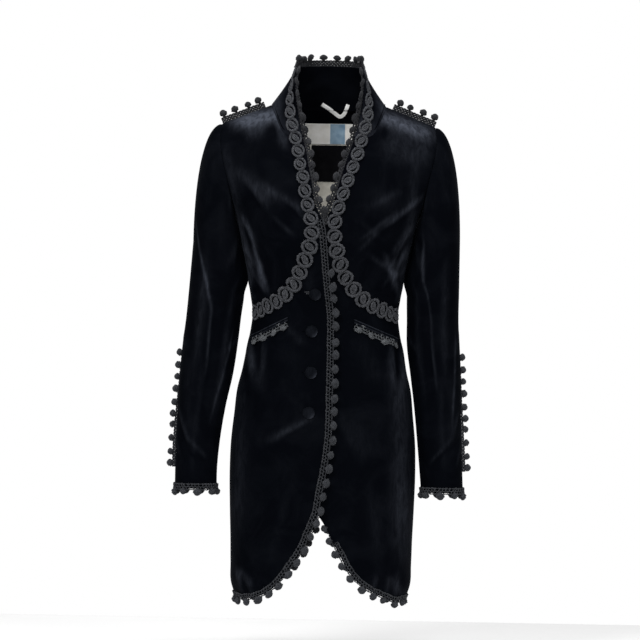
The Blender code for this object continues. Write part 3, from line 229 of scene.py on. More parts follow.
# Fine creases of the fronts and backs: start and end across and height, half width, height of the crease
FRONT_CREASES: dict[Side, Rows] = {
    Side.RIGHT: (
        (158, -128, 108, -186, 7, 1.1), (150, -146, 118, -196, 5, -1.1), (112, -150, 46, -196, 6, 1.2),
        (96, -158, 50, -208, 5, -0.9), (154, -206, 128, -246, 5, 1.4), (152, -220, 134, -262, 4, -1),
        (150, -258, 130, -292, 4.5, 1.6), (146, -270, 126, -306, 3.5, -1.2), (142, -288, 112, -336, 4, 1.9),
        (136, -296, 118, -332, 3.2, -1.4), (124, -292, 104, -344, 4, 1.6),
        (112, -300, 100, -330, 3.5, -1.2), (140, -318, 124, -352, 3.5, 1.5),
        (132, -330, 118, -356, 3, -1.1), (92, -4, 84, -44, 6, 1.4), (104, -18, 98, -60, 5, -1),
        (52, -200, 30, -214, 4, 0.9), (134, -428, 131, -488, 5, 1.6), (120, -432, 119, -478, 4, -1.2),
        (108, -430, 110, -486, 5, 1.3), (142, -452, 137, -520, 4, -1), (18, -562, 88, -604, 5, 0.9),
        (22, -574, 70, -600, 4, -0.9), (150, -846, 138, -884, 4, 1.4), (140, -852, 130, -888, 3.5, -1),
        (128, -858, 122, -890, 4, 1.2), (156, -866, 146, -888, 3.5, -0.9), (60, -700, 96, -840, 9, 0.3),
        (72, -400, 40, -430, 5, 0.9),
    ),
    Side.LEFT: (
        (106, -222, 166, -166, 5, 0.7), (96, -236, 158, -184, 5, -0.6), (74, -186, 130, -156, 7, 1),
        (50, -206, 108, -250, 6, 0.4), (62, -222, 116, -270, 5, -0.3), (152, -214, 118, -268, 5, 1.5),
        (148, -236, 126, -280, 4, -1.1), (146, -262, 116, -318, 4.5, 1.8),
        (138, -276, 112, -326, 3.5, -1.3), (142, -290, 118, -338, 4, 1.7), (134, -304, 116, -344, 3, -1.2),
        (124, -286, 96, -334, 4, 1.3), (112, -300, 92, -342, 3.5, -1), (138, -322, 126, -354, 3.5, 1.4),
        (88, -2, 82, -46, 6, 1.3), (106, -16, 100, -58, 5, -1), (118, -424, 122, -506, 5, 1.1),
        (128, -426, 134, -498, 4, -1.3), (138, -436, 144, -516, 5, 1.5), (106, -428, 106, -476, 4, -0.9),
        (100, -846, 92, -878, 4, 1.5), (110, -842, 104, -882, 3.5, -1.1), (122, -850, 118, -888, 4, 1.3),
        (140, -842, 134, -886, 4, 1.2), (84, -680, 104, -820, 9, 0.35), (30, -560, 66, -640, 8, 0.4),
    ),
}
BACK_CREASES: dict[Side, Rows] = {
    Side.RIGHT: (
        (150, -132, 100, -182, 7, 1.4), (142, -150, 110, -194, 5, -1), (150, -214, 118, -252, 5, 1.3),
        (146, -262, 112, -316, 4.5, 1.6), (136, -276, 104, -322, 3.5, -1.2), (140, -292, 102, -344, 4, 1.6),
        (126, -308, 92, -350, 3.5, -1.1), (118, -300, 70, -352, 4, 1.2), (36, -340, 110, -362, 5, -1.2),
        (30, -354, 96, -370, 4, 1.1), (116, -420, 120, -510, 5, 1.6), (128, -424, 134, -500, 4, -1.2),
        (60, -410, 66, -480, 6, 1.1), (64, -620, 56, -760, 8, 1.2), (120, -846, 114, -884, 4, 1.3),
        (138, -848, 132, -886, 4, 1.2), (40, -20, 30, -110, 9, 0.8),
    ),
    Side.LEFT: (
        (148, -126, 96, -176, 7, 1.3), (144, -154, 112, -202, 5, -1.1), (152, -218, 120, -262, 5, 1.4),
        (144, -266, 108, -322, 4.5, 1.7), (132, -282, 98, -330, 3.5, -1.2), (138, -300, 100, -350, 4, 1.4),
        (122, -296, 74, -346, 4, 1.2), (34, -336, 104, -358, 5, -1.2), (28, -350, 90, -372, 4, 1.1),
        (112, -424, 118, -516, 5, 1.5), (130, -428, 136, -498, 4, -1.2), (56, -412, 60, -474, 6, 1),
        (60, -610, 52, -745, 8, 1.1), (118, -842, 112, -880, 4, 1.3), (140, -846, 134, -884, 4, 1.1),
        (42, -24, 34, -120, 9, 0.8),
    ),
}

# Fine creases of the sleeves: start turn and height, end turn and height, half width, height
SLEEVE_CREASES: dict[Side, Rows] = {
    Side.RIGHT: (
        (60, -300, 66, -470, 7, 1.6), (96, -320, 100, -560, 6, -1.3), (128, -290, 124, -520, 6, 1.3),
        (84, -480, 80, -660, 7, 1.1), (28, -556, 62, -606, 4.5, 1.9), (62, -606, 118, -640, 4.5, 1.7),
        (30, -572, 60, -624, 4, -1.4), (22, -606, 40, -636, 4, 1.4), (70, -632, 122, -656, 4, -1.1),
        (150, -240, 110, -292, 6, 1.5), (146, -262, 120, -330, 5, -1.2), (10, -420, 40, -446, 6, 1.2),
        (170, -420, 130, -448, 6, 1.3), (168, -450, 138, -480, 5, -1), (250, -300, 256, -520, 7, 1.5),
        (286, -420, 262, -452, 6, 1.3), (300, -596, 250, -640, 5, 1.5), (40, -60, 36, -170, 9, 1),
        (120, -110, 128, -200, 7, 1.2),
    ),
    Side.LEFT: (
        (62, -310, 68, -480, 7, 1.5), (100, -300, 104, -540, 6, -1.4), (130, -300, 126, -500, 6, 1.2),
        (82, -500, 84, -660, 7, 1), (34, -554, 56, -598, 4.5, 1.8), (56, -598, 120, -644, 4.5, 1.7),
        (28, -598, 66, -626, 4, -1.3), (26, -616, 46, -650, 4, 1.4), (76, -620, 126, -660, 4, -1.1),
        (152, -236, 112, -296, 6, 1.4), (146, -268, 120, -336, 5, -1.2), (12, -410, 44, -440, 6, 1.2),
        (168, -410, 132, -440, 6, 1.3), (248, -310, 252, -530, 7, 1.5), (290, -410, 264, -446, 6, 1.2),
        (296, -590, 252, -636, 5, 1.4), (42, -64, 38, -176, 9, 1), (122, -106, 130, -204, 7, 1.1),
    ),
}
DEGREE_ARC = 0.8

# Painted sheen highlights, where the velvet is painted paler as if it caught the light: start and end, half
# width, strength
FRONT_SHEEN_MARKS: dict[Side, Rows] = {
    Side.RIGHT: (
        (172, -33, 84, -20, 15, 1), (150, -52, 118, -46, 12, 0.4), (94, -20, 78, -78, 7, 0.5),
        (158, -122, 103, -184, 12, 0.26), (127, -148, 30, -198, 8, 0.24), (186, -86, 152, -246, 8, 0.32),
        (171, -195, 128, -308, 6, 0.52), (153, -262, 134, -330, 5, 0.6), (120, -290, 104, -336, 5, 0.3),
        (136, -445, 112, -512, 9, 0.2), (104, -606, 18, -570, 7, 0.26), (151, -840, 126, -868, 6, 0.36),
        (142, -600, 146, -790, 15, 0.1), (66, -420, 44, -520, 16, 0.07), (34, -300, 26, -340, 9, 0.14),
        (150, -480, 156, -760, 10, 0.22), (150, -205, 126, -262, 3, 0.5), (142, -228, 118, -300, 2.5, 0.6),
        (130, -262, 108, -322, 2.5, 0.5), (96, -205, 62, -236, 3, 0.3),
    ),
    Side.LEFT: (
        (86, -18, 184, -52, 14, 0.85), (100, -66, 184, -92, 20, 0.36), (104, -219, 168, -163, 3, 0.4),
        (67, -155, 149, -200, 17, 0.12), (79, -272, 132, -308, 4, 0.3), (106, -270, 128, -336, 4, 0.5),
        (156, -119, 142, -300, 7, 0.3), (118, -450, 138, -552, 9, 0.16), (48, -566, 86, -632, 14, 0.14),
        (134, -650, 158, -830, 12, 0.17), (125, -850, 152, -886, 6, 0.32), (62, -420, 96, -500, 14, 0.12),
        (96, -700, 110, -800, 18, 0.1), (138, -470, 147, -800, 15, 0.34), (148, -228, 116, -292, 3, 0.5),
        (140, -262, 118, -318, 2.5, 0.55), (120, -196, 66, -240, 3, 0.35), (92, -228, 60, -262, 3, 0.3),
    ),
}
BACK_SHEEN_MARKS: dict[Side, Rows] = {
    Side.RIGHT: (
        (172, -36, 70, -16, 15, 0.9), (150, -110, 96, -178, 12, 0.28), (166, -190, 130, -300, 6, 0.45),
        (150, -262, 120, -340, 5, 0.5), (60, -330, 104, -356, 7, 0.32), (124, -430, 130, -540, 10, 0.26),
        (64, -610, 58, -740, 14, 0.2), (136, -844, 120, -880, 7, 0.3), (40, -60, 34, -220, 16, 0.14),
    ),
    Side.LEFT: (
        (172, -36, 70, -16, 15, 0.9), (152, -106, 92, -170, 12, 0.3), (164, -196, 128, -306, 6, 0.48),
        (146, -270, 118, -344, 5, 0.45), (58, -334, 100, -352, 7, 0.34), (118, -424, 128, -536, 10, 0.28),
        (60, -606, 54, -730, 14, 0.22), (138, -840, 122, -882, 7, 0.28), (44, -50, 36, -210, 16, 0.12),
    ),
}
SLEEVE_SHEEN_MARKS: dict[Side, Rows] = {
    Side.RIGHT: (
        (30, -225, 84, -370, 2.6, 1.5), (84, -370, 90, -480, 2.6, 1), (140, -420, 120, -560, 3, 1),
        (70, -66, 62, -190, 14, 0.2), (104, -150, 96, -330, 9, 0.16), (66, -240, 62, -470, 10, 0.22),
        (46, -470, 66, -610, 12, 0.26), (120, -400, 128, -560, 8, 0.14), (128, -90, 148, -200, 9, 0.22),
        (270, -120, 262, -420, 16, 0.24), (250, -460, 256, -640, 14, 0.2),
    ),
    Side.LEFT: (
        (122, -240, 96, -380, 2.6, 1.2), (34, -420, 52, -560, 3, 1.2), (96, -380, 92, -500, 3, 0.9),
        (66, -60, 60, -190, 14, 0.22), (108, -150, 100, -320, 9, 0.14), (64, -250, 70, -460, 10, 0.16),
        (52, -480, 60, -600, 12, 0.24), (116, -420, 122, -570, 8, 0.12), (126, -90, 146, -200, 9, 0.24),
        (268, -120, 264, -420, 16, 0.22), (252, -460, 250, -640, 14, 0.2),
    ),
}
# Painted highlight on the crests of creases and painted shade in their troughs, per millimetre of height, on
# the body and on the sleeves
CREST_HIGHLIGHT, SLEEVE_CREST_HIGHLIGHT = 0.15, 0.08
# How far the faint painted sheen places spread and how much they are weakened, and the strength below which a
# place counts as faint
SHEEN_SPREAD, SHEEN_FAINT, SHEEN_STRONG = 1.35, 0.62, 0.8
# Share of the painted sheen that the sleeves get
SLEEVE_FAINT = 0.28
SLEEVE_CLEAR, SLEEVE_PARTS, SLEEVE_LEAN = -1.2, -345, -0.1

BUTTONS: Rows = ((19, -343), (24, -410), (24, -484), (26.5, -556))
LINING_HALF_WIDTH = 76
LOOP_PATH: Rows = ((-13, 6), (1, -3), (12, -11), (20, -16), (27, -12), (31, -4), (34.5, 6))


def smooth(rows: Rows, at: Array | float) -> Array:
    """Reads a smooth curve through rows of (key, value, ...).

    Args:
        rows: The rows, in any order of their keys.
        at: Keys to read.

    Returns:
        One value per key, or one row of values per key where the rows hold several.
    """
    table = np.asarray(sorted(rows), float)
    keys, values = table[:, 0], table[:, 1:]
    slopes = np.gradient(values, keys, axis=0)
    at = np.clip(np.asarray(at, float), keys[0], keys[-1])
    index = np.clip(np.searchsorted(keys, at) - 1, 0, len(keys) - 2)
    span = (keys[index + 1] - keys[index])[..., None]
    u = (at - keys[index])[..., None] / span
    found = (
        (2 * u**3 - 3 * u**2 + 1) * values[index] + (u**3 - 2 * u**2 + u) * span * slopes[index]
        + (3 * u**2 - 2 * u**3) * values[index + 1] + (u**3 - u**2) * span * slopes[index + 1]
    )
    return found if values.shape[1] > 1 else found[..., 0]


def ease(share: Array | float) -> Array:
    """Smooth step from 0 to 1."""
    share = np.clip(share, 0.0, 1.0)
    return share * share * (3 - 2 * share)


def unit(vectors: Array) -> Array:
    """The vectors at a length of 1."""
    return vectors / np.maximum(np.linalg.norm(vectors, axis=-1, keepdims=True), 1e-12)


def turn_of(across: Array, level: Array) -> Array:
    """How far round the body points lie: 0 at the centre line and 1 at the side seam."""
    share = np.minimum(np.abs(across) / smooth(BODY, level)[..., 0], 1.0)
    return np.copysign(np.arcsin(share ** (ROUNDNESS / 2)) / (math.pi / 2), across)


def across_of(turn: Array, level: Array) -> Array:
    """The distance from the centre line of turns round the body."""
    half = smooth(BODY, level)[..., 0]
    return np.copysign(half * np.abs(np.sin(turn * math.pi / 2)) ** (2 / ROUNDNESS), turn)


def ridges(across: Array, level: Array, table: Rows) -> Array:
    """Height of soft ridges and troughs at points of a panel.

    Args:
        across: Distances from the centre line, in millimetres.
        level: Heights, in millimetres.
        table: Rows of start, end, half width and height.

    Returns:
        The height at each point, in millimetres.
    """
    total = np.zeros(np.shape(across))
    for x0, z0, x1, z1, half_width, height in table:
        dx, dz = x1 - x0, z1 - z0
        length = dx * dx + dz * dz
        share = ((across - x0) * dx + (level - z0) * dz) / length
        beside = np.hypot(across - x0 - share * dx, level - z0 - share * dz)
        end = ease((share + 0.25) / 0.5) * ease((1.25 - share) / 0.5)
        total += height * np.exp(-((beside / half_width) ** 2)) * end
    return total


def painted_sheen_at(across: Array, level: Array, table: Rows) -> Array:
    """How strong the painted sheen highlight is at points of a panel. The faint places of the table spread
    wide.
    """
    soft = tuple((*row[:4], row[4] * SHEEN_SPREAD,
                  row[5] * SHEEN_FAINT) if row[5] < SHEEN_STRONG else row for row in table)
    return ridges(across, level, soft)


def body_points(side: Side, across: Array, level: Array, behind: bool = False) -> Array:
    """Points on the outside of the coat's body.

    Args:
        side: Which half of the coat.
        across: Distances from the centre line towards that side, in millimetres.
        level: Heights, in millimetres.
        behind: True for the back of the coat.

    Returns:
        The points, in metres.
    """
    across, level = np.asarray(across, float), np.asarray(level, float)
    sizes = smooth(BODY, level)
    half, depth = sizes[..., 0], sizes[..., 2 if behind else 1]
    share = np.minimum(np.abs(across) / half, 1.0)
    out = (1 - share**ROUNDNESS) ** (1 / ROUNDNESS)
    fold = ridges(across, level, (BACK_FOLDS if behind else FRONT_FOLDS)[side]) * np.minimum(1.0, 2.5 * out)
    slope_x, slope_y = share ** (ROUNDNESS - 1) / half, out ** (ROUNDNESS - 1) / depth
    size = np.hypot(slope_x, slope_y)
    beside = across + np.copysign(fold * slope_x / size, across)
    away = (depth * out + fold * slope_y / size) * MM
    if side is Side.LEFT and not behind:
        reached = ease((across * MM - UNDERLAP_FROM) / (UNDERLAP_TO - UNDERLAP_FROM))
        away = away - UNDERLAP_DROP * (1 - reached)
    return np.stack((side.value * beside * MM, away if behind else -away, level * MM), axis=-1)


def along_curve(rows: Rows, share: Array) -> Array:
    """Points at shares of a smooth line through flat points."""
    keyed = tuple((index, *row) for index, row in enumerate(rows))
    return smooth(keyed, (len(rows) - 1) * share)


def coons(top: Array, bottom: Array, left: Array, right: Array, u: Array, v: Array) -> Grid:
    """Grid of flat points between four edges of a panel, at shares u across and v down."""
    u, v = u[None, :, None], v[:, None, None]
    return (
        (1 - v) * top[None] + v * bottom[None] + (1 - u) * left[:, None] + u * right[:, None]
        - (1 - u) * (1 - v) * top[0] - u * (1 - v) * top[-1] - (1 - u) * v * bottom[0] - u * v * bottom[-1]
    )


def turned_patch(top: Array, bottom: Array, u: Array, v: Array, edge: Way) -> Grid:
    """Flat grid below the underarm, evened out in turns round the body. The edge gives its first column."""
    v = v[:, None]
    level = top[None, :, 1] + (bottom[:, 1] - top[:, 1])[None] * v
    start, end = turn_of(top[:, 0], top[:, 1]), turn_of(bottom[:, 0], bottom[:, 1])
    first = level[:, :1]
    bend = turn_of(edge(first), first) - (start[0] + (end[0] - start[0]) * v)
    turns = start[None] + (end - start)[None] * v + bend * (1 - u[None]) ** 2
    return np.stack((across_of(turns, level), level), axis=-1)


def seamed(count: int) -> Array:
    """Shares from 0 to 1, with two more close to each end for the roll of the seam."""
    inner = np.linspace(0, 1, count + 1)
    near = np.array(ROLL_SHARES) / count
    return np.sort(np.concatenate((inner, near, 1 - near)))


def outward_normals(points: Grid, middle: Grid | float = 0.0) -> Grid:
    """Normals of a grid of points, turned away from the upright line through the middle."""
    down, beside = np.gradient(points, axis=0), np.gradient(points, axis=1)
    normals = unit(np.cross(beside, down))
    outward = (points - middle)[..., :2]
    return normals if np.sum(normals[..., :2] * outward) > 0 else -normals


def edge_lengths(points: Grid) -> tuple[Grid, Grid, Grid, Grid]:
    """Distance of each point of a grid from its top, bottom, left and right edges, along the cloth."""
    down = np.linalg.norm(np.diff(points, axis=0), axis=2).cumsum(axis=0)
    beside = np.linalg.norm(np.diff(points, axis=1), axis=2).cumsum(axis=1)
    top = np.concatenate((np.zeros((1, points.shape[1])), down))
    left = np.concatenate((np.zeros((points.shape[0], 1)), beside), axis=1)
    return top, top[-1:] - top, left, left[:, -1:] - left


def closed_wall(name: str, outer: Grid, inner: Grid, material: Material, nap: Grid | None = None) -> Piece:
    """A closed wall of quads between two grids of points, with a UV map in metres along the cloth.

    Args:
        name: The piece's name.
        outer: Points of the right side.
        inner: Points of the wrong side.
        material: The finish.
        nap: How strong the painted sheen highlight is at each point, from 0 to 1.

    Returns:
        The piece, in the scene.
    """
    rows, columns = outer.shape[:2]
    points = np.concatenate((outer.reshape(-1, 3), inner.reshape(-1, 3)))
    index = np.arange(rows * columns).reshape(rows, columns)
    a, b, c, d = index[:-1, :-1], index[:-1, 1:], index[1:, 1:], index[1:, :-1]
    front = np.stack((a, b, c, d), axis=-1).reshape(-1, 4)
    rim = np.concatenate((index[0, :-1], index[:-1, -1], index[-1, :0:-1], index[:0:-1, 0]))
    after = np.roll(rim, -1)
    shift = rows * columns
    back = front[:, ::-1] + shift
    sides = np.stack((after, rim, rim + shift, after + shift), axis=-1)
    faces = np.concatenate((front, back, sides))
    mesh = bpy.data.meshes.new(name)
    mesh.from_pydata(points.tolist(), [], faces.tolist())
    top, _, left, _ = edge_lengths(outer)
    flat = np.stack((left.reshape(-1), top.reshape(-1)), axis=-1)
    flat = np.concatenate((flat, flat))
    layer = mesh.uv_layers.new(name="UVMap")
    layer.data.foreach_set("uv", flat[faces.reshape(-1)].reshape(-1))
    # The painted sheen highlight is stored on the outer points, and is zero on the inner ones
    if nap is not None:
        painted_highlight = np.clip(nap, 0, 1).reshape(-1)
        mesh.attributes.new("nap", "FLOAT", "POINT").data.foreach_set("value",
                                                                      np.concatenate((painted_highlight, painted_highlight * 0)))
    return finished(name, mesh, material)


def finished(name: str, mesh: bpy.types.Mesh, material: Material, sharp: float = 50) -> Piece:
    """Turns a closed mesh's faces outwards, shades it smooth and links it as a piece at the origin."""
    body = bmesh.new()
    body.from_mesh(mesh)
    bmesh.ops.recalc_face_normals(body, faces=body.faces)
    if body.calc_volume(signed=True) < 0:
        bmesh.ops.reverse_faces(body, faces=body.faces)
    body.to_mesh(mesh)
    body.free()
    mesh.materials.clear()
    mesh.materials.append(material)
    mesh.shade_smooth()
    mesh.set_sharp_from_angle(angle=math.radians(sharp))
    piece = bpy.data.objects.new(name, mesh)
    bpy.context.scene.collection.objects.link(piece)
    return piece


def tree_of(grids: list[Grid]) -> BVHTree:
    """Search tree over the faces of several grids of points."""
    points: list[Vector] = []
    faces: list[tuple[int, ...]] = []
    for grid in grids:
        start, (rows, columns) = len(points), grid.shape[:2]
        points += [Vector(point) for point in grid.reshape(-1, 3)]
        index = np.arange(rows * columns).reshape(rows, columns) + start
        quads = np.stack((index[:-1, :-1], index[:-1, 1:], index[1:, 1:], index[1:, :-1]), axis=-1)
        faces += [tuple(int(corner) for corner in quad) for quad in quads.reshape(-1, 4)]
    return BVHTree.FromPolygons(points, faces)


def on_cloth(tree: BVHTree, point: Array, outward: Array) -> tuple[Array, Array]:
    """The nearest point of the cloth and its normal there, turned to the outward side."""
    place, normal, _, _ = tree.find_nearest(Vector(point))
    if normal.dot(Vector(outward)) < 0:
        normal = -normal
    return np.array(place), np.array(normal)


class NodeBench:
    """Short ways to add and link nodes of one material."""

    def __init__(self, name: str) -> None:
        """Starts a material with an empty Principled shader."""
        self.material = bpy.data.materials.new(name)
        self.material.use_nodes = True
        self.nodes = self.material.node_tree.nodes
        self.shader = self.nodes["Principled BSDF"]

    def add(self, kind: str, inputs: dict[str, object] | None = None, **settings: object) -> bpy.types.Node:
        """Adds a node, sets its properties and its inputs.

        Args:
            kind: The node's type name.
            inputs: Socket name to a value, or to a socket that it is linked from.
            **settings: Properties of the node.

        Returns:
            The node.
        """
        node = self.nodes.new(kind)
        for key, value in settings.items():
            setattr(node, key, value)
        self.feed(node, inputs or {})
        return node

    def feed(self, node: bpy.types.Node, inputs: dict[str, object]) -> None:
        """Sets or links a node's inputs."""
        for key, value in inputs.items():
            if isinstance(value, Socket):
                self.material.node_tree.links.new(value, node.inputs[key])
            else:
                node.inputs[key].default_value = value

    def place(self, uv: bool = False) -> Socket:
        """Object or UV coordinates."""
        return self.add("ShaderNodeTexCoord").outputs["UV" if uv else "Object"]

    def blend(self, factor: Socket, low: tuple[float, ...], high: tuple[float, ...],
              start: float, end: float) -> Socket:
        """A colour that goes from low to high as a pattern goes from start to end."""
        ramp = self.add("ShaderNodeValToRGB", {"Fac": factor})
        ramp.color_ramp.elements[0].position, ramp.color_ramp.elements[1].position = start, end
        ramp.color_ramp.elements[0].color, ramp.color_ramp.elements[1].color = (*low, 1), (*high, 1)
        return ramp.outputs["Color"]

    def noise(self, place: Socket, scale: float, detail: float, **inputs: float) -> Socket:
        """A noise pattern at a place."""
        return self.add("ShaderNodeTexNoise",
                        {"Vector": place, "Scale": scale, "Detail": detail, **inputs}).outputs["Fac"]

    def combine(self, operation: str, first: Socket, second: object) -> Socket:
        """The result of an operation on two values."""
        return self.add("ShaderNodeMath", {0: first, 1: second}, operation=operation).outputs["Value"]

    def remap(self, value: Socket, start: float, end: float, low: float, high: float) -> Socket:
        """A value that goes from low to high as another one goes from start to end."""
        return self.add("ShaderNodeMapRange", {
            "Value": value, "From Min": start, "From Max": end, "To Min": low, "To Max": high,
        }).outputs["Result"]

    def bump(self, height: Socket, distance: float, strength: float, under: Socket | None = None) -> Socket:
        """A bump from a height pattern, over another one where it is given."""
        inputs: dict[str, object] = {"Height": height, "Distance": distance, "Strength": strength}
        if under is not None:
            inputs["Normal"] = under
        return self.add("ShaderNodeBump", inputs).outputs["Normal"]


@dataclass(frozen=True)
class VelvetFinish:
    """Short-napped velvet: almost black, with a painted sheen highlight from the point attribute, strongest
    on the listed sheen places and the crests of creases, and a faint random mottle.
    """

    name: str = "navy_black_velvet"
    deep: tuple[float, float, float] = (0.0008, 0.0011, 0.0020)
    # Colour of the painted sheen highlight
    painted_highlight: tuple[float, float, float] = (0.040, 0.045, 0.058)
    contrast: float = 1.35
    sheen: float = 0.015
    sheen_roughness: float = 0.3
    sheen_tint: tuple[float, float, float] = (0.62, 0.70, 0.90)
    specular: float = 0.008
    patch: float = 15.0
    streak: float = 120.0
    pile: float = 1500.0

    def material(self) -> Material:
        """Builds the velvet's nodes."""
        bench = NodeBench(self.name)
        place = bench.place()
        # The painted sheen attribute, broken into streaks and sharpened, plus a faint random mottle, blends
        # the almost black colour towards the painted highlight colour
        nap = bench.add("ShaderNodeAttribute", attribute_name="nap").outputs["Fac"]
        patch = bench.noise(place, self.patch, 4.0, Roughness=0.6, Distortion=0.8)
        drawn = bench.add("ShaderNodeMapping", {"Vector": place, "Scale": (1.0, 1.0, 0.3)}).outputs["Vector"]
        streak = bench.noise(drawn, self.streak, 5.0, Roughness=0.65, Distortion=0.6)
        broken = bench.combine("MULTIPLY", nap, bench.remap(streak, 0.35, 0.65, 0.55, 1.25))
        marks = bench.combine("POWER", broken, self.contrast)
        total = bench.combine("ADD", marks, bench.remap(patch, 0.45, 0.8, 0.0, 0.04))
        colour = bench.blend(total, self.deep, self.painted_highlight, 0.0, 1.0)
        soft = bench.bump(streak, 0.0012, 0.3)
        normal = bench.bump(bench.noise(place, self.pile, 2.0), 0.0003, 0.35, soft)
        bench.feed(bench.shader, {
            "Base Color": colour, "Roughness": 0.7, "Normal": normal,
            "Sheen Weight": self.sheen, "Sheen Roughness": self.sheen_roughness,
            "Sheen Tint": (*self.sheen_tint, 1.0), "Specular IOR Level": self.specular,
        })
        return bench.material


@dataclass(frozen=True)
class BraidFinish:
    """Matt crocheted yarn whose twist runs along each cord, with painted shade in the twist's grooves."""

    name: str
    shade: tuple[float, float, float]
    light: tuple[float, float, float]
    twist: float = 760.0

    def material(self) -> Material:
        """Builds the yarn's nodes."""
        bench = NodeBench(self.name)
        uv, place = bench.place(uv=True), bench.place()
        strand = bench.add("ShaderNodeTexWave",
                           {"Vector": uv, "Scale": self.twist, "Distortion": 1.6, "Detail": 1.0},
                           wave_type="BANDS", bands_direction="DIAGONAL").outputs["Fac"]
        # The colour follows the twist, dark in its grooves and light on its strands, which is painted shade
        # and highlight, and varies at random like the yarn's own tone
        mixed = bench.combine("MULTIPLY", strand, bench.noise(place, 230.0, 3.0, Roughness=0.7))
        colour = bench.blend(mixed, self.shade, self.light, 0.1, 0.56)
        normal = bench.bump(bench.noise(place, 900.0, 3.0), 0.0004, 0.5, bench.bump(strand, 0.0005, 0.6))
        bench.feed(bench.shader, {
            "Base Color": colour, "Roughness": 0.92, "Normal": normal, "Sheen Weight": 0.07,
            "Sheen Roughness": 0.5, "Sheen Tint": (0.7, 0.72, 0.78, 1.0), "Specular IOR Level": 0.12,
        })
        return bench.material


@dataclass(frozen=True)
class WovenFinish:
    """Fine woven cloth with a slight satin gloss, for the lining, the label and the tape."""

    name: str
    shade: tuple[float, float, float]
    light: tuple[float, float, float]
    roughness: float = 0.45
    threads: float = 1600.0
    gloss: float = 0.3

    def material(self) -> Material:
        """Builds the woven cloth's nodes."""
        bench = NodeBench(self.name)
        uv, place = bench.place(uv=True), bench.place()
        warp, weft = (bench.add("ShaderNodeTexWave", {"Vector": uv, "Scale": self.threads},
                                bands_direction=way).outputs["Fac"] for way in "XY")
        wrinkle = bench.noise(place, 70.0, 3.0)
        colour = bench.blend(wrinkle, self.shade, self.light, 0.3, 0.7)
        normal = bench.bump(bench.combine("MAXIMUM", warp, weft), 0.0001, 0.3,
                            bench.bump(wrinkle, 0.003, 0.35))
        bench.feed(bench.shader, {"Base Color": colour, "Roughness": self.roughness, "Normal": normal,
                                  "Sheen Weight": 0.02, "Specular IOR Level": self.gloss})
        return bench.material


def made(kind: type, *values: object) -> Material:
    """A field that holds the material of a finish of some kind with some values."""
    return field(default_factory=lambda: kind(*values).material())


@dataclass
class Finishes:
    """Every finish of the coat, built once."""

    velvet: Material = made(VelvetFinish)
    braid: Material = made(BraidFinish, "charcoal_ring_braid", (0.007, 0.008, 0.010), (0.090, 0.093, 0.103))
    bobble: Material = made(BraidFinish, "charcoal_bobble_braid", (0.005, 0.006, 0.008),
                            (0.056, 0.059, 0.066))
    # A darker copy of the bobble yarn for the neck, collar-top and shoulder braids; on the neck braid, deep
    # inside the neckline, it is painted shade
    dark: Material = made(BraidFinish, "dark_bobble_braid", (0.003, 0.0035, 0.0045), (0.036, 0.037, 0.041))
    pale: Material = made(BraidFinish, "pale_bobble_braid", (0.010, 0.012, 0.014), (0.15, 0.158, 0.168))
    lining: Material = made(WovenFinish, "cream_lining", (0.84, 0.82, 0.77), (0.95, 0.94, 0.91))
    blue: Material = made(WovenFinish, "blue_lining", (0.17, 0.28, 0.40), (0.32, 0.45, 0.56))
    beige: Material = made(WovenFinish, "beige_lining", (0.62, 0.59, 0.51), (0.82, 0.79, 0.71))
    label: Material = made(WovenFinish, "black_label", (0.002, 0.002, 0.003), (0.005, 0.005, 0.006), 0.8,
                           1600.0, 0.06)
    tape: Material = made(WovenFinish, "white_tape", (0.72, 0.72, 0.70), (0.86, 0.86, 0.85), 0.7, 1100.0)


@dataclass
class Panel:
    """One fine cloth panel: its points, the relief that it gets and the middle of what it wraps."""

    points: Grid
    relief: Grid
    middle: Grid | float = 0.0
    rolls: tuple[bool, bool, bool, bool] = (True, True, True, True)
    roll_depth: float = 0.9 * MM
    roll_width: float = 2.6 * MM
    fade: float = 9 * MM

    def layers(self) -> tuple[Grid, Grid]:
        """The outer and inner points of the wall, with creases, and rolled down at its seams."""
        normals = outward_normals(self.points, self.middle)
        distances = edge_lengths(self.points)
        height = self.relief.copy()
        roll = np.zeros_like(height)
        for rolled, distance in zip(self.rolls, distances):
            if rolled:
                height *= ease(distance / self.fade)
                roll += self.roll_depth * np.exp(-((distance / self.roll_width) ** 2))
        outer = self.points + normals * (height - roll)[..., None]
        return outer, outer - normals * WALL


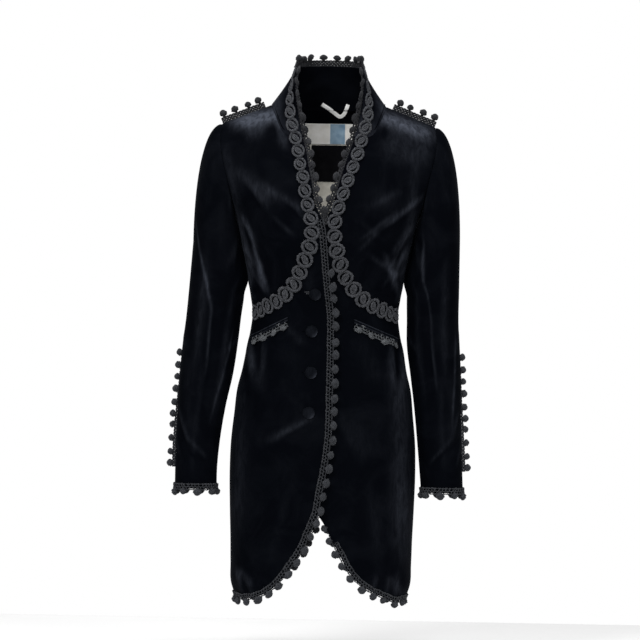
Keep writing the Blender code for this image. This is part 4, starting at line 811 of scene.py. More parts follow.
@dataclass
class CoatBody:
    """The bodice, the skirt and the collar."""

    columns: int = 62
    chest_rows: int = 62
    lower_rows: int = 48
    skirt_rows: int = 132
    collar_rows: int = 36
    grids: dict[str, Grid] = field(default_factory=dict)
    outers: dict[str, Grid] = field(default_factory=dict)
    pieces: dict[str, Piece] = field(default_factory=dict)

    def chest(self, neck: Array, left: Array, neck_share: float, u: Array, v: Array,
              crowding: float) -> Grid:
        """Flat grid from the neck and shoulder seams down to the underarm."""
        tip = np.array(SHOULDER_TIP, float)
        shoulder_share = np.clip((u - neck_share) / (1 - neck_share), 0, 1)[:, None]
        shoulder = neck[-1] + (tip - neck[-1]) * shoulder_share
        keyed = np.linspace(0, neck_share, len(neck))
        on_neck = np.stack([np.interp(u, keyed, neck[:, axis]) for axis in range(2)], axis=-1)
        top = np.where((u <= neck_share)[:, None], on_neck, shoulder)
        right = along_curve(ARMHOLE, v)
        start = turn_of(left[-1, 0], UNDERARM)
        turns = start + (1 - start) * u**crowding
        levels = np.full(len(u), float(UNDERARM))
        bottom = np.stack((across_of(turns, levels), levels), axis=-1)
        return coons(top, bottom, left, right, u, v)

    def hem(self, table: Rows, u: Array) -> Array:
        """Flat points along a rounded skirt corner, from the front or back edge to the side seam."""
        widest = float(smooth(BODY, HEM_AT_SIDE)[0])
        start = math.asin((table[0][0] / widest) ** (ROUNDNESS / 2))
        across = widest * np.sin(start + (math.pi / 2 - start) * u**EDGE_CROWDING) ** (2 / ROUNDNESS)
        line = np.stack((across, smooth(table, across)), axis=-1)
        line[-1] = (widest, HEM_AT_SIDE)
        return line

    def fronts(self, side: Side) -> tuple[Grid, Grid]:
        """Flat grids of the bodice front and the skirt front of one side."""
        tables = FRONTS[side]
        u, v = seamed(self.columns), seamed(self.chest_rows)

        def edge(level: Array) -> Array:
            return smooth(tables.edge, level)

        levels = NECK_FRONT[0][1] + (UNDERARM - NECK_FRONT[0][1]) * v
        left = np.stack((edge(levels), levels), axis=-1)
        neck = along_curve(NECK_FRONT, np.linspace(0, 1, 25))
        chest = self.chest(neck, left, NECK_SHARE, u, v, EDGE_CROWDING)
        share = u**EDGE_CROWDING
        seam_level = smooth(tables.bust_seam, share)
        start = turn_of(edge(seam_level), seam_level)
        seam = np.stack((across_of(start + (1 - start) * share, seam_level), seam_level), axis=-1)
        lower = turned_patch(chest[-1], seam, u, seamed(self.lower_rows), edge)
        skirt = turned_patch(seam, self.hem(tables.hem, u), u, seamed(self.skirt_rows), edge)
        return np.concatenate((chest, lower[1:])), skirt

    def backs(self) -> tuple[Grid, Grid]:
        """Flat grids of the bodice back and the skirt back. The first column is the centre back."""
        u, v = seamed(self.columns), seamed(self.chest_rows)

        def edge(level: Array) -> Array:
            return np.zeros_like(level)

        shares = np.linspace(0, 1, 25)
        neck = np.stack((across_of(shares, np.zeros(25)), np.zeros(25)), axis=-1)
        levels = UNDERARM * v
        chest = self.chest(neck, np.stack((edge(levels), levels), axis=-1), BACK_NECK_SHARE, u, v, 1.0)
        waist_levels = np.full(len(u), float(WAIST))
        waist = np.stack((across_of(u, waist_levels), waist_levels), axis=-1)
        lower = turned_patch(chest[-1], waist, u, seamed(self.lower_rows), edge)
        skirt = turned_patch(waist, self.hem(BACK_HEM, u), u, seamed(self.skirt_rows), edge)
        return np.concatenate((chest, lower[1:])), skirt

    def collar(self) -> Grid:
        """Points of the collar from its foot to its top edge, from the left front edge to the right one."""
        halves = []
        for side in (Side.LEFT, Side.RIGHT):
            mirror = np.array((float(side.value), 1.0, 1.0))
            u = seamed(self.columns)
            front = self.grids["bodice_front_" + side.word][0, u <= NECK_SHARE + 1e-9] * mirror
            back = self.grids["bodice_back_" + side.word][0, u <= BACK_NECK_SHARE + 1e-9] * mirror
            corner = body_points(Side.LEFT, NECK_FRONT[-1][0], NECK_FRONT[-1][1])
            corner[1] = 0.0
            foot = np.concatenate((front[:-1], [corner], back[::-1][1:]))
            halves.append(self.collar_half(foot) * mirror)
        return np.concatenate((halves[0], halves[1][:, -2::-1]), axis=1)

    def collar_half(self, foot: Array) -> Grid:
        """The collar's left half over the points of its foot."""
        lengths = np.concatenate(([0.0], np.linalg.norm(np.diff(foot, axis=0), axis=1).cumsum()))
        along = lengths / lengths[-1]
        v = seamed(self.collar_rows)
        front = smooth(COLLAR_FRONT, v) * MM
        top = smooth(COLLAR_TOP, along) * MM
        bend = front - (front[0] + (front[-1] - front[0]) * v[:, None])
        fade = np.maximum(0.0, 1 - along / 0.35) ** 2
        grid = foot[None] * (1 - v)[:, None, None] + top[None] * v[:, None,
                                                                   None] + bend[:, None] * fade[None, :, None]
        inward = unit(grid * np.array((-1.0, -1.0, 0.0)))
        behind = np.sin(math.pi * np.minimum(along * COLLAR_HOLLOW_PACE, 1))[None] ** 2
        hollow = COLLAR_HOLLOW * np.sin(math.pi * v)[:, None] * behind
        return grid + inward * hollow[..., None]

    def build(self, velvet: Material) -> None:
        """Makes every body panel, with its creases."""
        back_bodice, back_skirt = self.backs()
        flats: dict[str, tuple[Grid, Side, bool]] = {}
        for side in Side:
            bodice, skirt = self.fronts(side)
            flats["bodice_front_" + side.word] = (bodice, side, False)
            flats["skirt_front_" + side.word] = (skirt, side, False)
            flats["bodice_back_" + side.word] = (back_bodice, side, True)
            flats["skirt_back_" + side.word] = (back_skirt, side, True)
        for name, (flat, side, behind) in flats.items():
            points = body_points(side, flat[..., 0], flat[..., 1], behind)
            if name.startswith("bodice"):
                u = seamed(self.columns)
                points[0, u > (BACK_NECK_SHARE if behind else NECK_SHARE) - 1e-9, 1] = 0.0
            self.grids[name] = points
        self.grids["collar"] = self.collar()
        for name, (flat, side, behind) in flats.items():
            across, level = flat[..., 0], flat[..., 1]
            creases = ridges(across, level, (BACK_CREASES if behind else FRONT_CREASES)[side])
            # Painted sheen highlight from the listed places
            nap = painted_sheen_at(across, level, (BACK_SHEEN_MARKS if behind else FRONT_SHEEN_MARKS)[side])
            self.make(name, creases, nap, (True, name.startswith("bodice"), behind, True), velvet)
        rows, columns = self.grids["collar"].shape[:2]
        share_x, share_z = np.meshgrid(np.linspace(0, 1, columns), np.linspace(0, 1, rows))
        near_foot = np.exp(-((share_z - 0.15) / 0.25) ** 2)
        wave = 0.8 * np.sin(share_x * 41) * near_foot + 0.5 * np.sin(share_x * 17 + 1)
        # Painted sheen on the collar, strongest near its foot and in soft bands along it
        nap = 0.22 * np.exp(-((share_z - 0.1) / 0.2) ** 2) + 0.1 * np.sin(share_x * 23) ** 2
        self.make("collar", wave, nap, (False, False, False, False), velvet)
        self.pieces["collar_allowance"] = self.allowance(velvet)

    def allowance(self, velvet: Material) -> Piece:
        """The collar's seam allowance, turned down inside the neck seam."""
        foot = self.grids["collar"][0]
        inward = unit(foot * np.array((-1.0, -1.0, 0.0)))
        rows = [foot + inward * (WALL + 0.2 * MM) + np.array((0, 0, rise * MM))
                for rise in (5.0, 1.5, -2.0, -6.0)]
        outer = np.array(rows)
        return closed_wall("collar_allowance", outer, outer + inward * 0.7 * MM, velvet,
                           np.zeros(outer.shape[:2]))

    def make(self, name: str, creases: Grid, nap: Grid, rolls: tuple[bool, bool, bool, bool],
             velvet: Material) -> None:
        """Makes one panel's wall, with its painted sheen highlight, plus painted highlight on crease crests
        and painted shade in their troughs. Its creases are in millimetres.
        """
        outer, inner = Panel(self.grids[name], creases * MM, rolls=rolls).layers()
        # Painted highlight on crease crests and painted shade in their troughs, added to the painted sheen
        self.pieces[name] = closed_wall(name + "_cloth", outer, inner, velvet, nap + CREST_HIGHLIGHT * creases)
        self.outers[name] = outer


@dataclass
class Sleeves:
    """Both two-piece sleeves, from the armhole to the cuff."""

    per_step: int = 8
    cap_rows: int = 44
    arm_rows: int = 118
    spread: float = 16
    fade: float = 50
    parting: float = 35
    grids: dict[Side, Grid] = field(default_factory=dict)
    pieces: dict[str, Piece] = field(default_factory=dict)

    def loop(self, body: CoatBody, side: Side, steps: Array) -> tuple[Array, Array]:
        """Points round the armhole at fractional steps, and the way out of its plane."""
        half = LOOP_STEPS / 2
        shares = seamed(body.chest_rows)
        found = []
        for name, reached in (("bodice_front_", steps / half), ("bodice_back_", (LOOP_STEPS - steps) / half)):
            line = body.grids[name + side.word][: len(shares), -1]
            found.append(np.stack([np.interp(reached, shares, line[:, axis]) for axis in range(3)], axis=-1))
        points = np.where((steps <= half)[:, None], *found)
        centre = points.mean(axis=0)
        plane = unit(np.cross(points - centre, np.roll(points, -1, axis=0) - centre).sum(axis=0))
        return points, plane if plane[0] * side.value > 0 else -plane

    def grid(self, body: CoatBody, side: Side) -> tuple[Grid, Grid]:
        """Points of one sleeve and the turn of each, with the first column repeated at the end."""
        steps = np.linspace(0, LOOP_STEPS, LOOP_STEPS * self.per_step + 1)
        start, plane = self.loop(body, side, steps)
        start = start + plane * SEAM_GAP
        upper = np.interp(steps, range(LOOP_STEPS + 1), UPPER_TURNS)
        lower = np.interp(steps, range(LOOP_STEPS + 1), LOWER_TURNS)
        levels = np.linspace(SLEEVE_FREE, CUFF, self.arm_rows + 1)[:, None]
        twist = ease((SLEEVE_FREE - levels) / SLEEVE_TWIST)
        turns = upper[None] + (lower - upper)[None] * twist
        sizes = smooth(FRONTS[side].sleeve, levels[:, 0])
        inner, outer, middle, depth = (sizes[:, axis, None] for axis in range(4))
        beside = smooth(BODY, levels[:, 0])[:, :1] + SLEEVE_CLEAR
        inner = inner + (beside - inner) * ease((levels - SLEEVE_PARTS) / self.parting)
        puff = np.ones_like(turns)
        for fold_turn, high, low, height in SLEEVE_FOLDS:
            beside = (turns - fold_turn + 180) % 360 - 180
            bulge = height * np.exp(-((beside / self.spread) ** 2)) * ease((high - levels) / self.fade)
            puff = puff + bulge * ease((levels - low) / self.fade)
        angle = np.radians(turns)
        across = (inner + outer) / 2 + (outer - inner) / 2 * np.cos(angle)
        arm = np.stack((side.value * across, middle - depth * puff * np.sin(angle), levels + 0 * across),
                       axis=-1) * MM
        u = np.linspace(0, 1, self.cap_rows + 1)[:, None, None]
        top_share = ((1 + np.cos(np.radians(upper))) / 2)[:, None]
        leave = unit(plane * top_share + np.array((side.value * SLEEVE_LEAN, 0, -0.95)) * (1 - top_share))
        leave = leave * (CAP_LEAVE_LOW + (CAP_LEAVE_TOP - CAP_LEAVE_LOW) * top_share)
        reach = np.linalg.norm(arm[0] - start, axis=1)[:, None] * 1.15
        arrive = np.array((0, 0, -1.0)) * reach
        cap = (
            (2 * u**3 - 3 * u**2 + 1) * start[None] + (u**3 - 2 * u**2 + u) * leave[None]
            + (3 * u**2 - 2 * u**3) * arm[0][None] + (u**3 - u**2) * arrive[None]
        )
        grid = np.concatenate((cap[:-1], arm))
        all_turns = np.concatenate((np.repeat(upper[None], self.cap_rows, axis=0), turns))
        return grid, all_turns

    def build(self, body: CoatBody, velvet: Material) -> None:
        """Makes the upper and under pieces of both sleeves."""
        step = self.per_step
        for side in Side:
            grid, turns = self.grid(body, side)
            self.grids[side] = grid
            count = grid.shape[1] - 1
            upper = np.arange(BACK_SEAM * step, (LOOP_STEPS + FRONT_SEAM) * step + 1) % count
            under = np.arange(FRONT_SEAM * step, BACK_SEAM * step + 1)
            creases = self.marks(grid, turns, SLEEVE_CREASES[side])
            # Painted sheen highlight from the listed places, faint on the sleeves, with painted highlight on
            # crease crests and painted shade in their troughs
            nap = self.marks(grid, turns, SLEEVE_SHEEN_MARKS[side]) * SLEEVE_FAINT + SLEEVE_CREST_HIGHLIGHT * creases
            for name, columns in (("sleeve_upper_", upper), ("sleeve_under_", under)):
                panel = Panel(grid[:, columns], creases[:, columns] * MM, grid.mean(axis=1, keepdims=True),
                              (True, False, True, True))
                outer, inner = panel.layers()
                node = name + side.word
                self.pieces[node] = closed_wall(node + "_cloth", outer, inner, velvet, nap[:, columns])

    def allowance(self, body: CoatBody, side: Side, velvet: Material) -> Piece:
        """The armhole's seam allowance, a narrow band behind the seam."""
        loop, plane = self.loop(body, side, np.linspace(0, LOOP_STEPS, LOOP_STEPS * self.per_step + 1))
        inward = unit(loop.mean(axis=0) - loop)
        rows = [loop + inward * (WALL + 0.5 * MM) + plane * reach * MM for reach in (-5.0, -1.5, 2.0, 5.5)]
        outer = np.array(rows)
        return closed_wall("armhole_allowance_" + side.word, outer, outer + inward * 0.7 * MM, velvet,
                           np.zeros(outer.shape[:2]))

    def marks(self, grid: Grid, turns: Grid, table: Rows) -> Grid:
        """Value of a table of creases or painted sheen marks at each point of a sleeve."""
        arcs = tuple((t0 * DEGREE_ARC, z0, t1 * DEGREE_ARC, z1, *size) for t0, z0, t1, z1, *size in table)
        return ridges((turns % 360) * DEGREE_ARC, grid[..., 2] / MM, arcs)


@dataclass
class Course:
    """A line that a trim follows, with the cloth's normal and the way off the edge at each of its points."""

    points: Array
    normals: Array
    away: Way
    closed: bool = False
    near: float = 6 * MM

    def __post_init__(self) -> None:
        """Measures the line."""
        if self.closed:
            self.points = np.concatenate((self.points, self.points[:1]))
            self.normals = np.concatenate((self.normals, self.normals[:1]))
        steps = np.linalg.norm(np.diff(self.points, axis=0), axis=1)
        self.lengths = np.concatenate(([0.0], steps.cumsum()))
        self.length = float(self.lengths[-1])

    def read(self, values: Array, where: Array) -> Array:
        """Values at lengths along the line."""
        where = where % self.length if self.closed else np.clip(where, 0, self.length)
        return np.stack([np.interp(where, self.lengths, values[:, axis]) for axis in range(3)], axis=-1)

    def frames(self, where: Array) -> tuple[Array, Array, Array]:
        """Point, normal and way off the edge at lengths along the line."""
        tangent = unit(self.read(self.points, where + self.near) - self.read(self.points, where - self.near))
        normal = unit(self.read(self.normals, where))
        point = self.read(self.points, where)
        off = unit(np.cross(tangent, normal))
        flip = np.einsum("ij,ij->i", off, np.array([self.away(place) for place in point])) < 0
        off[flip] = -off[flip]
        return point, normal, off

    def cut(self, start: float, end: float) -> "Course":
        """The line with its ends taken off."""
        inside = self.lengths[(self.lengths > start) & (self.lengths < self.length - end)]
        places = np.concatenate(([start], inside, [self.length - end]))
        return Course(self.read(self.points, places), unit(self.read(self.normals, places)), self.away)


def course_on(tree: BVHTree, points: list[Array], away: Way, near: float = 6 * MM,
              facing: Way = lambda point: FORWARD) -> Course:
    """A course over the cloth nearest to some points, which face a way that depends on the point."""
    spots = [on_cloth(tree, point, facing(point)) for point in points]
    return Course(np.array([spot[0] for spot in spots]), np.array([spot[1] for spot in spots]), away,
                  near=near)


class Repeater:
    """A Geometry Nodes tree that sets copies of a unit on points, with a seeded spread of turn and size."""

    def __init__(self, name: str) -> None:
        """Builds the tree with its named inputs."""
        self.group = bpy.data.node_groups.new(name, "GeometryNodeTree")
        face = self.group.interface
        self.sockets: dict[str, str] = {}
        for label, kind in (("Places", "NodeSocketGeometry"), ("Unit", "NodeSocketObject"),
                            ("Turn spread", "NodeSocketVector"), ("Size spread", "NodeSocketFloat"),
                            ("Seed", "NodeSocketInt"), ("Finish", "NodeSocketMaterial")):
            self.sockets[label] = face.new_socket(label, in_out="INPUT", socket_type=kind).identifier
        face.new_socket("Pieces", in_out="OUTPUT", socket_type="NodeSocketGeometry")
        nodes = self.group.nodes
        source, target = nodes.new("NodeGroupInput"), nodes.new("NodeGroupOutput")
        info, copies = nodes.new("GeometryNodeObjectInfo"), nodes.new("GeometryNodeInstanceOnPoints")
        info.inputs["As Instance"].default_value = True
        info.transform_space = "RELATIVE"
        low = nodes.new("ShaderNodeVectorMath")
        turn, size = nodes.new("FunctionNodeRandomValue"), nodes.new("FunctionNodeRandomValue")
        low.operation = "SCALE"
        low.inputs["Scale"].default_value = -1.0
        turn.data_type, size.data_type = "FLOAT_VECTOR", "FLOAT"
        less, more = nodes.new("ShaderNodeMath"), nodes.new("ShaderNodeMath")
        less.operation, more.operation = "SUBTRACT", "ADD"
        less.inputs[0].default_value = more.inputs[0].default_value = 1.0
        real, coat = nodes.new("GeometryNodeRealizeInstances"), nodes.new("GeometryNodeSetMaterial")
        for start, out, end, into in (
            (source, "Unit", info, "Object"), (source, "Turn spread", low, 0), (low, "Vector", turn, 0),
            (source, "Turn spread", turn, 1), (source, "Seed", turn, "Seed"),
            (source, "Size spread", less, 1),
            (source, "Size spread", more, 1), (less, "Value", size, 2), (more, "Value", size, 3),
            (source, "Seed", size, "Seed"), (source, "Places", copies, "Points"),
            (info, "Geometry", copies, "Instance"), (turn, 0, copies, "Rotation"), (size, 1, copies, "Scale"),
            (copies, "Instances", real, "Geometry"), (real, "Geometry", coat, "Geometry"),
            (source, "Finish", coat, "Material"), (coat, "Geometry", target, "Pieces"),
        ):
            self.group.links.new(start.outputs[out], end.inputs[into])

    def spread(self, shape: Piece, places: Array, finish: Material,
               turn: tuple[float, float, float], size: float, seed: int) -> bpy.types.Mesh:
        """Sets a unit on flat places.

        Args:
            shape: The unit's object.
            places: Points, in the flat frame of the trim.
            finish: The material of the copies.
            turn: Largest random turn about each axis, in radians.
            size: Largest random change of size, as a share.
            seed: Seed of both.

        Returns:
            The plain mesh of all the copies.
        """
        mesh = bpy.data.meshes.new("places")
        mesh.from_pydata(places.tolist(), [], [])
        carrier = bpy.data.objects.new("places", mesh)
        bpy.context.scene.collection.objects.link(carrier)
        modifier = carrier.modifiers.new("Repeat", "NODES")
        modifier.node_group = self.group
        for label, value in (("Unit", shape), ("Turn spread", turn), ("Size spread", float(size)),
                             ("Seed", seed), ("Finish", finish)):
            modifier[self.sockets[label]] = value
        bpy.context.view_layer.update()
        found = bpy.data.meshes.new_from_object(carrier.evaluated_get(bpy.context.evaluated_depsgraph_get()))
        bpy.data.objects.remove(carrier, do_unlink=True)
        return found


def tube(centres: Array, across: Array, height: Array, sides: int, closed: bool) -> tuple[list, list, list]:
    """A flat-lying cord as points, faces and UVs.

    Args:
        centres: Points of the cord's middle line, in the flat frame.
        across: Half width of the cord at each point.
        height: Half height of the cord at each point.
        sides: Number of sides of its section.
        closed: True where the cord joins its own start.

    Returns:
        Points, faces, and one UV pair for each corner of each face.
    """
    count = len(centres)
    if closed:
        tangents = np.roll(centres, -1, axis=0) - np.roll(centres, 1, axis=0)
    else:
        tangents = np.gradient(centres, axis=0)
    beside = unit(np.cross((0.0, 0.0, 1.0), unit(tangents)))
    steps = np.concatenate(([0.0], np.linalg.norm(np.diff(centres, axis=0), axis=1).cumsum()))
    points, faces, uvs = [], [], []
    for index in range(count):
        for side in range(sides):
            angle = 2 * math.pi * (side + 0.5) / sides
            points.append(centres[index] + beside[index] * across[index] * math.cos(angle)
                          + np.array((0, 0, height[index] * math.sin(angle))))
    girth = 2 * math.pi * float(np.mean(across))
    for index in range(count if closed else count - 1):
        following = (index + 1) % count
        u0, u1 = steps[index], steps[following] if following else steps[-1] + (steps[1] - steps[0])
        for side in range(sides):
            after = (side + 1) % sides
            faces.append((index * sides + side, index * sides + after, following * sides + after,
                          following * sides + side))
            v0, v1 = girth * side / sides, girth * (side + 1) / sides
            uvs.append(((u0, v0), (u0, v1), (u1, v1), (u1, v0)))
    if not closed:
        for start in (0, (count - 1) * sides):
            faces.append(tuple(start + side for side in range(sides)))
            uvs.append(tuple((0.0, 0.0) for _ in range(sides)))
    return points, faces, uvs


def unit_shape(name: str, parts: list[tuple[list, list, list]]) -> Piece:
    """One hidden unit object made of several cords or caps, with its UV map."""
    points: list = []
    faces: list = []
    corners: list = []
    for part_points, part_faces, part_uvs in parts:
        start = len(points)
        points += [tuple(point) for point in part_points]
        faces += [tuple(start + corner for corner in face) for face in part_faces]
        corners += [pair for face in part_uvs for pair in face]
    mesh = bpy.data.meshes.new(name)
    mesh.from_pydata(points, [], faces)
    mesh.uv_layers.new(name="UVMap").data.foreach_set("uv", [value for pair in corners for value in pair])
    body = bmesh.new()
    body.from_mesh(mesh)
    bmesh.ops.recalc_face_normals(body, faces=body.faces)
    body.to_mesh(mesh)
    body.free()
    mesh.shade_smooth()
    shape = bpy.data.objects.new(name, mesh)
    bpy.context.scene.collection.objects.link(shape)
    shape.hide_render = True
    return shape


@dataclass
class Trims:
    """The units of every trim, and the ways to lay them along a course."""

    finishes: Finishes
    repeater: Repeater = field(default_factory=lambda: Repeater("set_copies"))
    cell: float = 6.2 * MM
    pitch: float = 25 * MM

    def __post_init__(self) -> None:
        """Makes the units: the braids' cells, the bobbles, the ring and the stitch."""
        self.cells = {
            Weave.OPEN: self.lattice_cell(),
            Weave.CLOSE: self.dense_cell(),
            Weave.WIDE: self.loop_cell(),
        }
        self.bobble = self.bobble_shape("bobble_unit", 6.4, 5.2)
        self.long_bobble = self.bobble_shape("long_bobble_unit", 8.0, 4.8)
        self.ring = self.ring_shape()
        self.stitch = self.stitch_shape()

    def rail(self, level: float, wide: float) -> tuple[list, list, list]:
        """One knotted cord along a cell, at a distance off the braid's root line in millimetres."""
        half = self.cell / 2
        way = np.linspace(-1.1, 1.1, 7)
        wave = np.cos(way * math.pi + level)
        line = np.stack((way * half, (level + 0.45 * wave) * MM,
                         (1.1 + 0.3 * np.sin(way * 2 * math.pi)) * MM), axis=-1)
        return tube(line, (wide + 0.28 * np.cos(way * 2 * math.pi)) * MM, np.full(7, 0.95 * MM), 5, False)

    def lattice_cell(self) -> Piece:
        """One cell of the open narrow braid: three knotted cords and the slanting ones between them."""
        half = self.cell / 2
        low, middle, high = -8.4, -3.3, 1.8
        parts = [self.rail(level, 1.05) for level in (low, middle, high)]
        for y0, y1, starts in ((low, middle, (0.0,)), (middle, high, (-half, half))):
            for x in starts:
                ends = np.array(((x - 1.1 * MM, y0 * MM, 1.3 * MM),
                                 (x + 0.2 * MM, (y0 + y1) / 2 * MM, 1.8 * MM),
                                 (x + 1.3 * MM, y1 * MM, 1.4 * MM)))
                wide = (0.6 if x else 1.15) * MM
                parts.append(tube(ends, np.full(3, wide), np.full(3, 0.8 * MM), 4, False))
        return unit_shape("lattice_unit", parts)

    def dense_cell(self) -> Piece:
        """One cell of the closely crocheted braid, of several knotted cords side by side."""
        return unit_shape("close_unit", [self.rail(level, 1.95) for level in (-7.6, -4.6, -1.6, 1.4)])

    def loop_cell(self) -> Piece:
        """One cell of the wide lace: two cords, each with a crocheted loop beside it."""
        parts = [self.rail(-7.8, 2.1), self.rail(-1.3, 1.9)]
        angles = np.linspace(0, 2 * math.pi, 12, endpoint=False)
        for x, y in ((0.0, -4.4 * MM), (self.cell / 2, 1.9 * MM)):
            loop = np.stack((x + 2.5 * MM * np.cos(angles), y + 2.3 * MM * np.sin(angles),
                             (1.7 + 0.9 * np.sin(angles * 2 + 1)) * MM), axis=-1)
            parts.append(tube(loop, (1.5 + 0.3 * np.cos(angles * 5)) * MM, np.full(12, 0.9 * MM), 5, True))
        return unit_shape("wide_unit", parts)

    def bobble_shape(self, name: str, along: float, deep: float) -> Piece:
        """A crocheted bobble: a short neck that opens into a ribbed dome.

        Args:
            name: The unit's name.
            along: Half size along the braid, in millimetres.
            deep: Half size out of the cloth, in millimetres.

        Returns:
            The unit, its root at the braid's outer edge.
        """
        profile = ((0.5, 0.30), (2.6, 0.42), (4.2, 0.86), (6.6, 1.0), (9.2, 0.94), (11.6, 0.68), (13.2, 0.34))
        sides = 14
        points, faces, uvs = [], [], []
        for row, (reach, share) in enumerate(profile):
            for side in range(sides):
                angle = 2 * math.pi * side / sides
                check = 0.12 if (side + row) % 2 else -0.12
                rib = 1 + check * share + 0.08 * math.sin(3 * angle + reach * 1.3)
                points.append((along * MM * share * rib * math.cos(angle), reach * MM,
                               deep * MM * share * rib * math.sin(angle)))
        tip = len(points)
        points.append((0.0, 13.7 * MM, 0.0))
        for row in range(len(profile) - 1):
            for side in range(sides):
                after = (side + 1) % sides
                faces.append((row * sides + side, row * sides + after, (row + 1) * sides + after,
                              (row + 1) * sides + side))
                u0, u1 = 0.0016 * side, 0.0016 * (side + 1)
                v0, v1 = profile[row][0] * MM, profile[row + 1][0] * MM
                uvs.append(((u0, v0), (u1, v0), (u1, v1), (u0, v1)))
        last = (len(profile) - 1) * sides
        for side in range(sides):
            faces.append((last + side, last + (side + 1) % sides, tip))
            uvs.append(((0.0016 * side, 0.0132), (0.0016 * (side + 1), 0.0132), (0.0016 * side, 0.0137)))
        faces.append(tuple(range(sides)))
        uvs.append(tuple((0.0, 0.0) for _ in range(sides)))
        return unit_shape(name, [(points, faces, uvs)])

    def ring_shape(self) -> Piece:
        """One oval ring of the wide braid: a scalloped wreath round a slanting inner oval."""
        angles = np.linspace(0, 2 * math.pi, 64, endpoint=False)
        outer = np.stack((11.1 * np.cos(angles), 12.1 * np.sin(angles), 1.9 + 0.75 * np.cos(angles)),
                         axis=-1) * MM
        wide = (2.6 + 0.42 * np.cos(angles * 13 + 0.6) + 0.25 * np.sin(angles * 3)) * MM
        parts = [tube(outer, wide, (1.4 + 0.4 * np.cos(angles * 13 + 1.4)) * MM, 6, True)]
        turns = np.linspace(0, 2 * math.pi, 32, endpoint=False)
        long_way, short_way = 7.0 * np.cos(turns), 3.7 * np.sin(turns)
        slant = math.radians(52)
        inner = np.stack((long_way * math.cos(slant) - short_way * math.sin(slant),
                          long_way * math.sin(slant) + short_way * math.cos(slant), np.full(32, 2.0)),
                          axis=-1) * MM
        parts.append(tube(inner, (2.3 + 0.38 * np.cos(turns * 8)) * MM, np.full(32, 1.25 * MM), 6, True))
        core = np.array(((-3.0, -3.6, 2.2), (0, 0, 2.5), (3.0, 3.6, 2.2))) * MM
        parts.append(tube(core, np.full(3, 1.3 * MM), np.full(3, 1.0 * MM), 5, False))
        return unit_shape("ring_unit", parts)

    def stitch_shape(self) -> Piece:
        """One short thread of a sewn bar."""
        line = np.array(((0, -1.0, 0.2), (0, -0.5, 0.8), (0, 0.5, 0.8), (0, 1.0, 0.2))) * MM
        return unit_shape("stitch_unit", [tube(line, np.full(4, 0.42 * MM), np.full(4, 0.42 * MM), 5, False)])

    def lay(self, name: str, meshes: list[bpy.types.Mesh], course: Course, lie: Lie, base: float,
            tree: BVHTree | None, finish: Material) -> Piece:
        """Bends flat meshes along a course and joins them into one piece.

        Args:
            name: The piece's name.
            meshes: Flat meshes: X along the course, Y off the edge, Z above the cloth.
            course: The line to follow.
            lie: How the trim lies.
            base: Height above the cloth, in metres.
            tree: The cloth that the trim follows.
            finish: The material.

        Returns:
            The piece, in the scene.
        """
        joined = bmesh.new()
        for mesh in meshes:
            joined.from_mesh(mesh)
        flat = np.array([vert.co for vert in joined.verts])
        point, normal, off = course.frames(flat[:, 0])
        places = point + off * flat[:, 1:2]
        height = flat[:, 2:3] + base
        if tree is not None and lie is not Lie.UPRIGHT:
            for index in np.nonzero((flat[:, 1] <= 0) | (lie is Lie.FLAT))[0]:
                places[index], normal[index] = on_cloth(tree, places[index], normal[index])
        places = places + unit(normal) * height
        for vert, place in zip(joined.verts, places):
            vert.co = place
        result = bpy.data.meshes.new(name)
        joined.to_mesh(result)
        joined.free()
        result.materials.clear()
        result.materials.append(finish)
        result.shade_smooth()
        piece = bpy.data.objects.new(name, result)
        bpy.context.scene.collection.objects.link(piece)
        return piece

    def bobbles(self, name: str, course: Course, poms: list[float], lie: Lie, base: float = 0.4 * MM,
                tree: BVHTree | None = None, rise: float = 0.0, long: bool = False, seed: int = 5,
                shift: Callable[[float], float] = lambda length: 0.0, size: float = 1.0,
                weave: Weave = Weave.OPEN, squat: float = 1.0, tuck: float = 0.0,
                finish: Material | None = None) -> Piece:
        """Bobble braid along a course.

        Args:
            name: The piece's name.
            course: The line to follow.
            poms: Lengths at which bobbles stand.
            lie: How the braid lies.
            base: Height of the braid above the cloth, in metres.
            tree: The cloth that it follows.
            rise: Height of the bobbles above the braid, in metres.
            long: True for bobbles longer along the braid than across it.
            seed: Seed of their small turns.
            shift: How far the braid lies off the edge at a length along it.
            size: Size of the bobbles.
            weave: How the strip is worked.
            squat: How far the bobbles are pressed flat, 1 for round ones.
            tuck: How far their roots lie back over the strip, in metres.
            finish: The yarn, where it isn't that of the other bobbles.

        Returns:
            The piece, in the scene.
        """
        yarn = finish or self.finishes.bobble
        cells = max(int(round(course.length / self.cell)), 1)
        step = course.length / cells
        along = [(step * (index + 0.5), shift(step * (index + 0.5)), 0.0) for index in range(cells)]
        turn = 0.16 if weave is Weave.OPEN else 0.05
        meshes = [self.repeater.spread(self.cells[weave], np.array(along), yarn, (0.12, 0.12, turn), 0.05,
                                       seed)]
        root = weave.value * MM - tuck
        places = np.array([(length, root + shift(length), 1.2 * MM + rise) for length in poms])
        shape = self.long_bobble if long else self.bobble
        if lie is Lie.FLAT:
            places[:, 2] = 4.0 * MM * squat
        shape.scale = (size, size * (0.5 + 0.5 * squat), size * squat)
        meshes.append(self.repeater.spread(shape, places, yarn, (0.2, 0.45, 0.34), 0.1, seed))
        return self.lay(name, meshes, course, lie, base, tree, yarn)

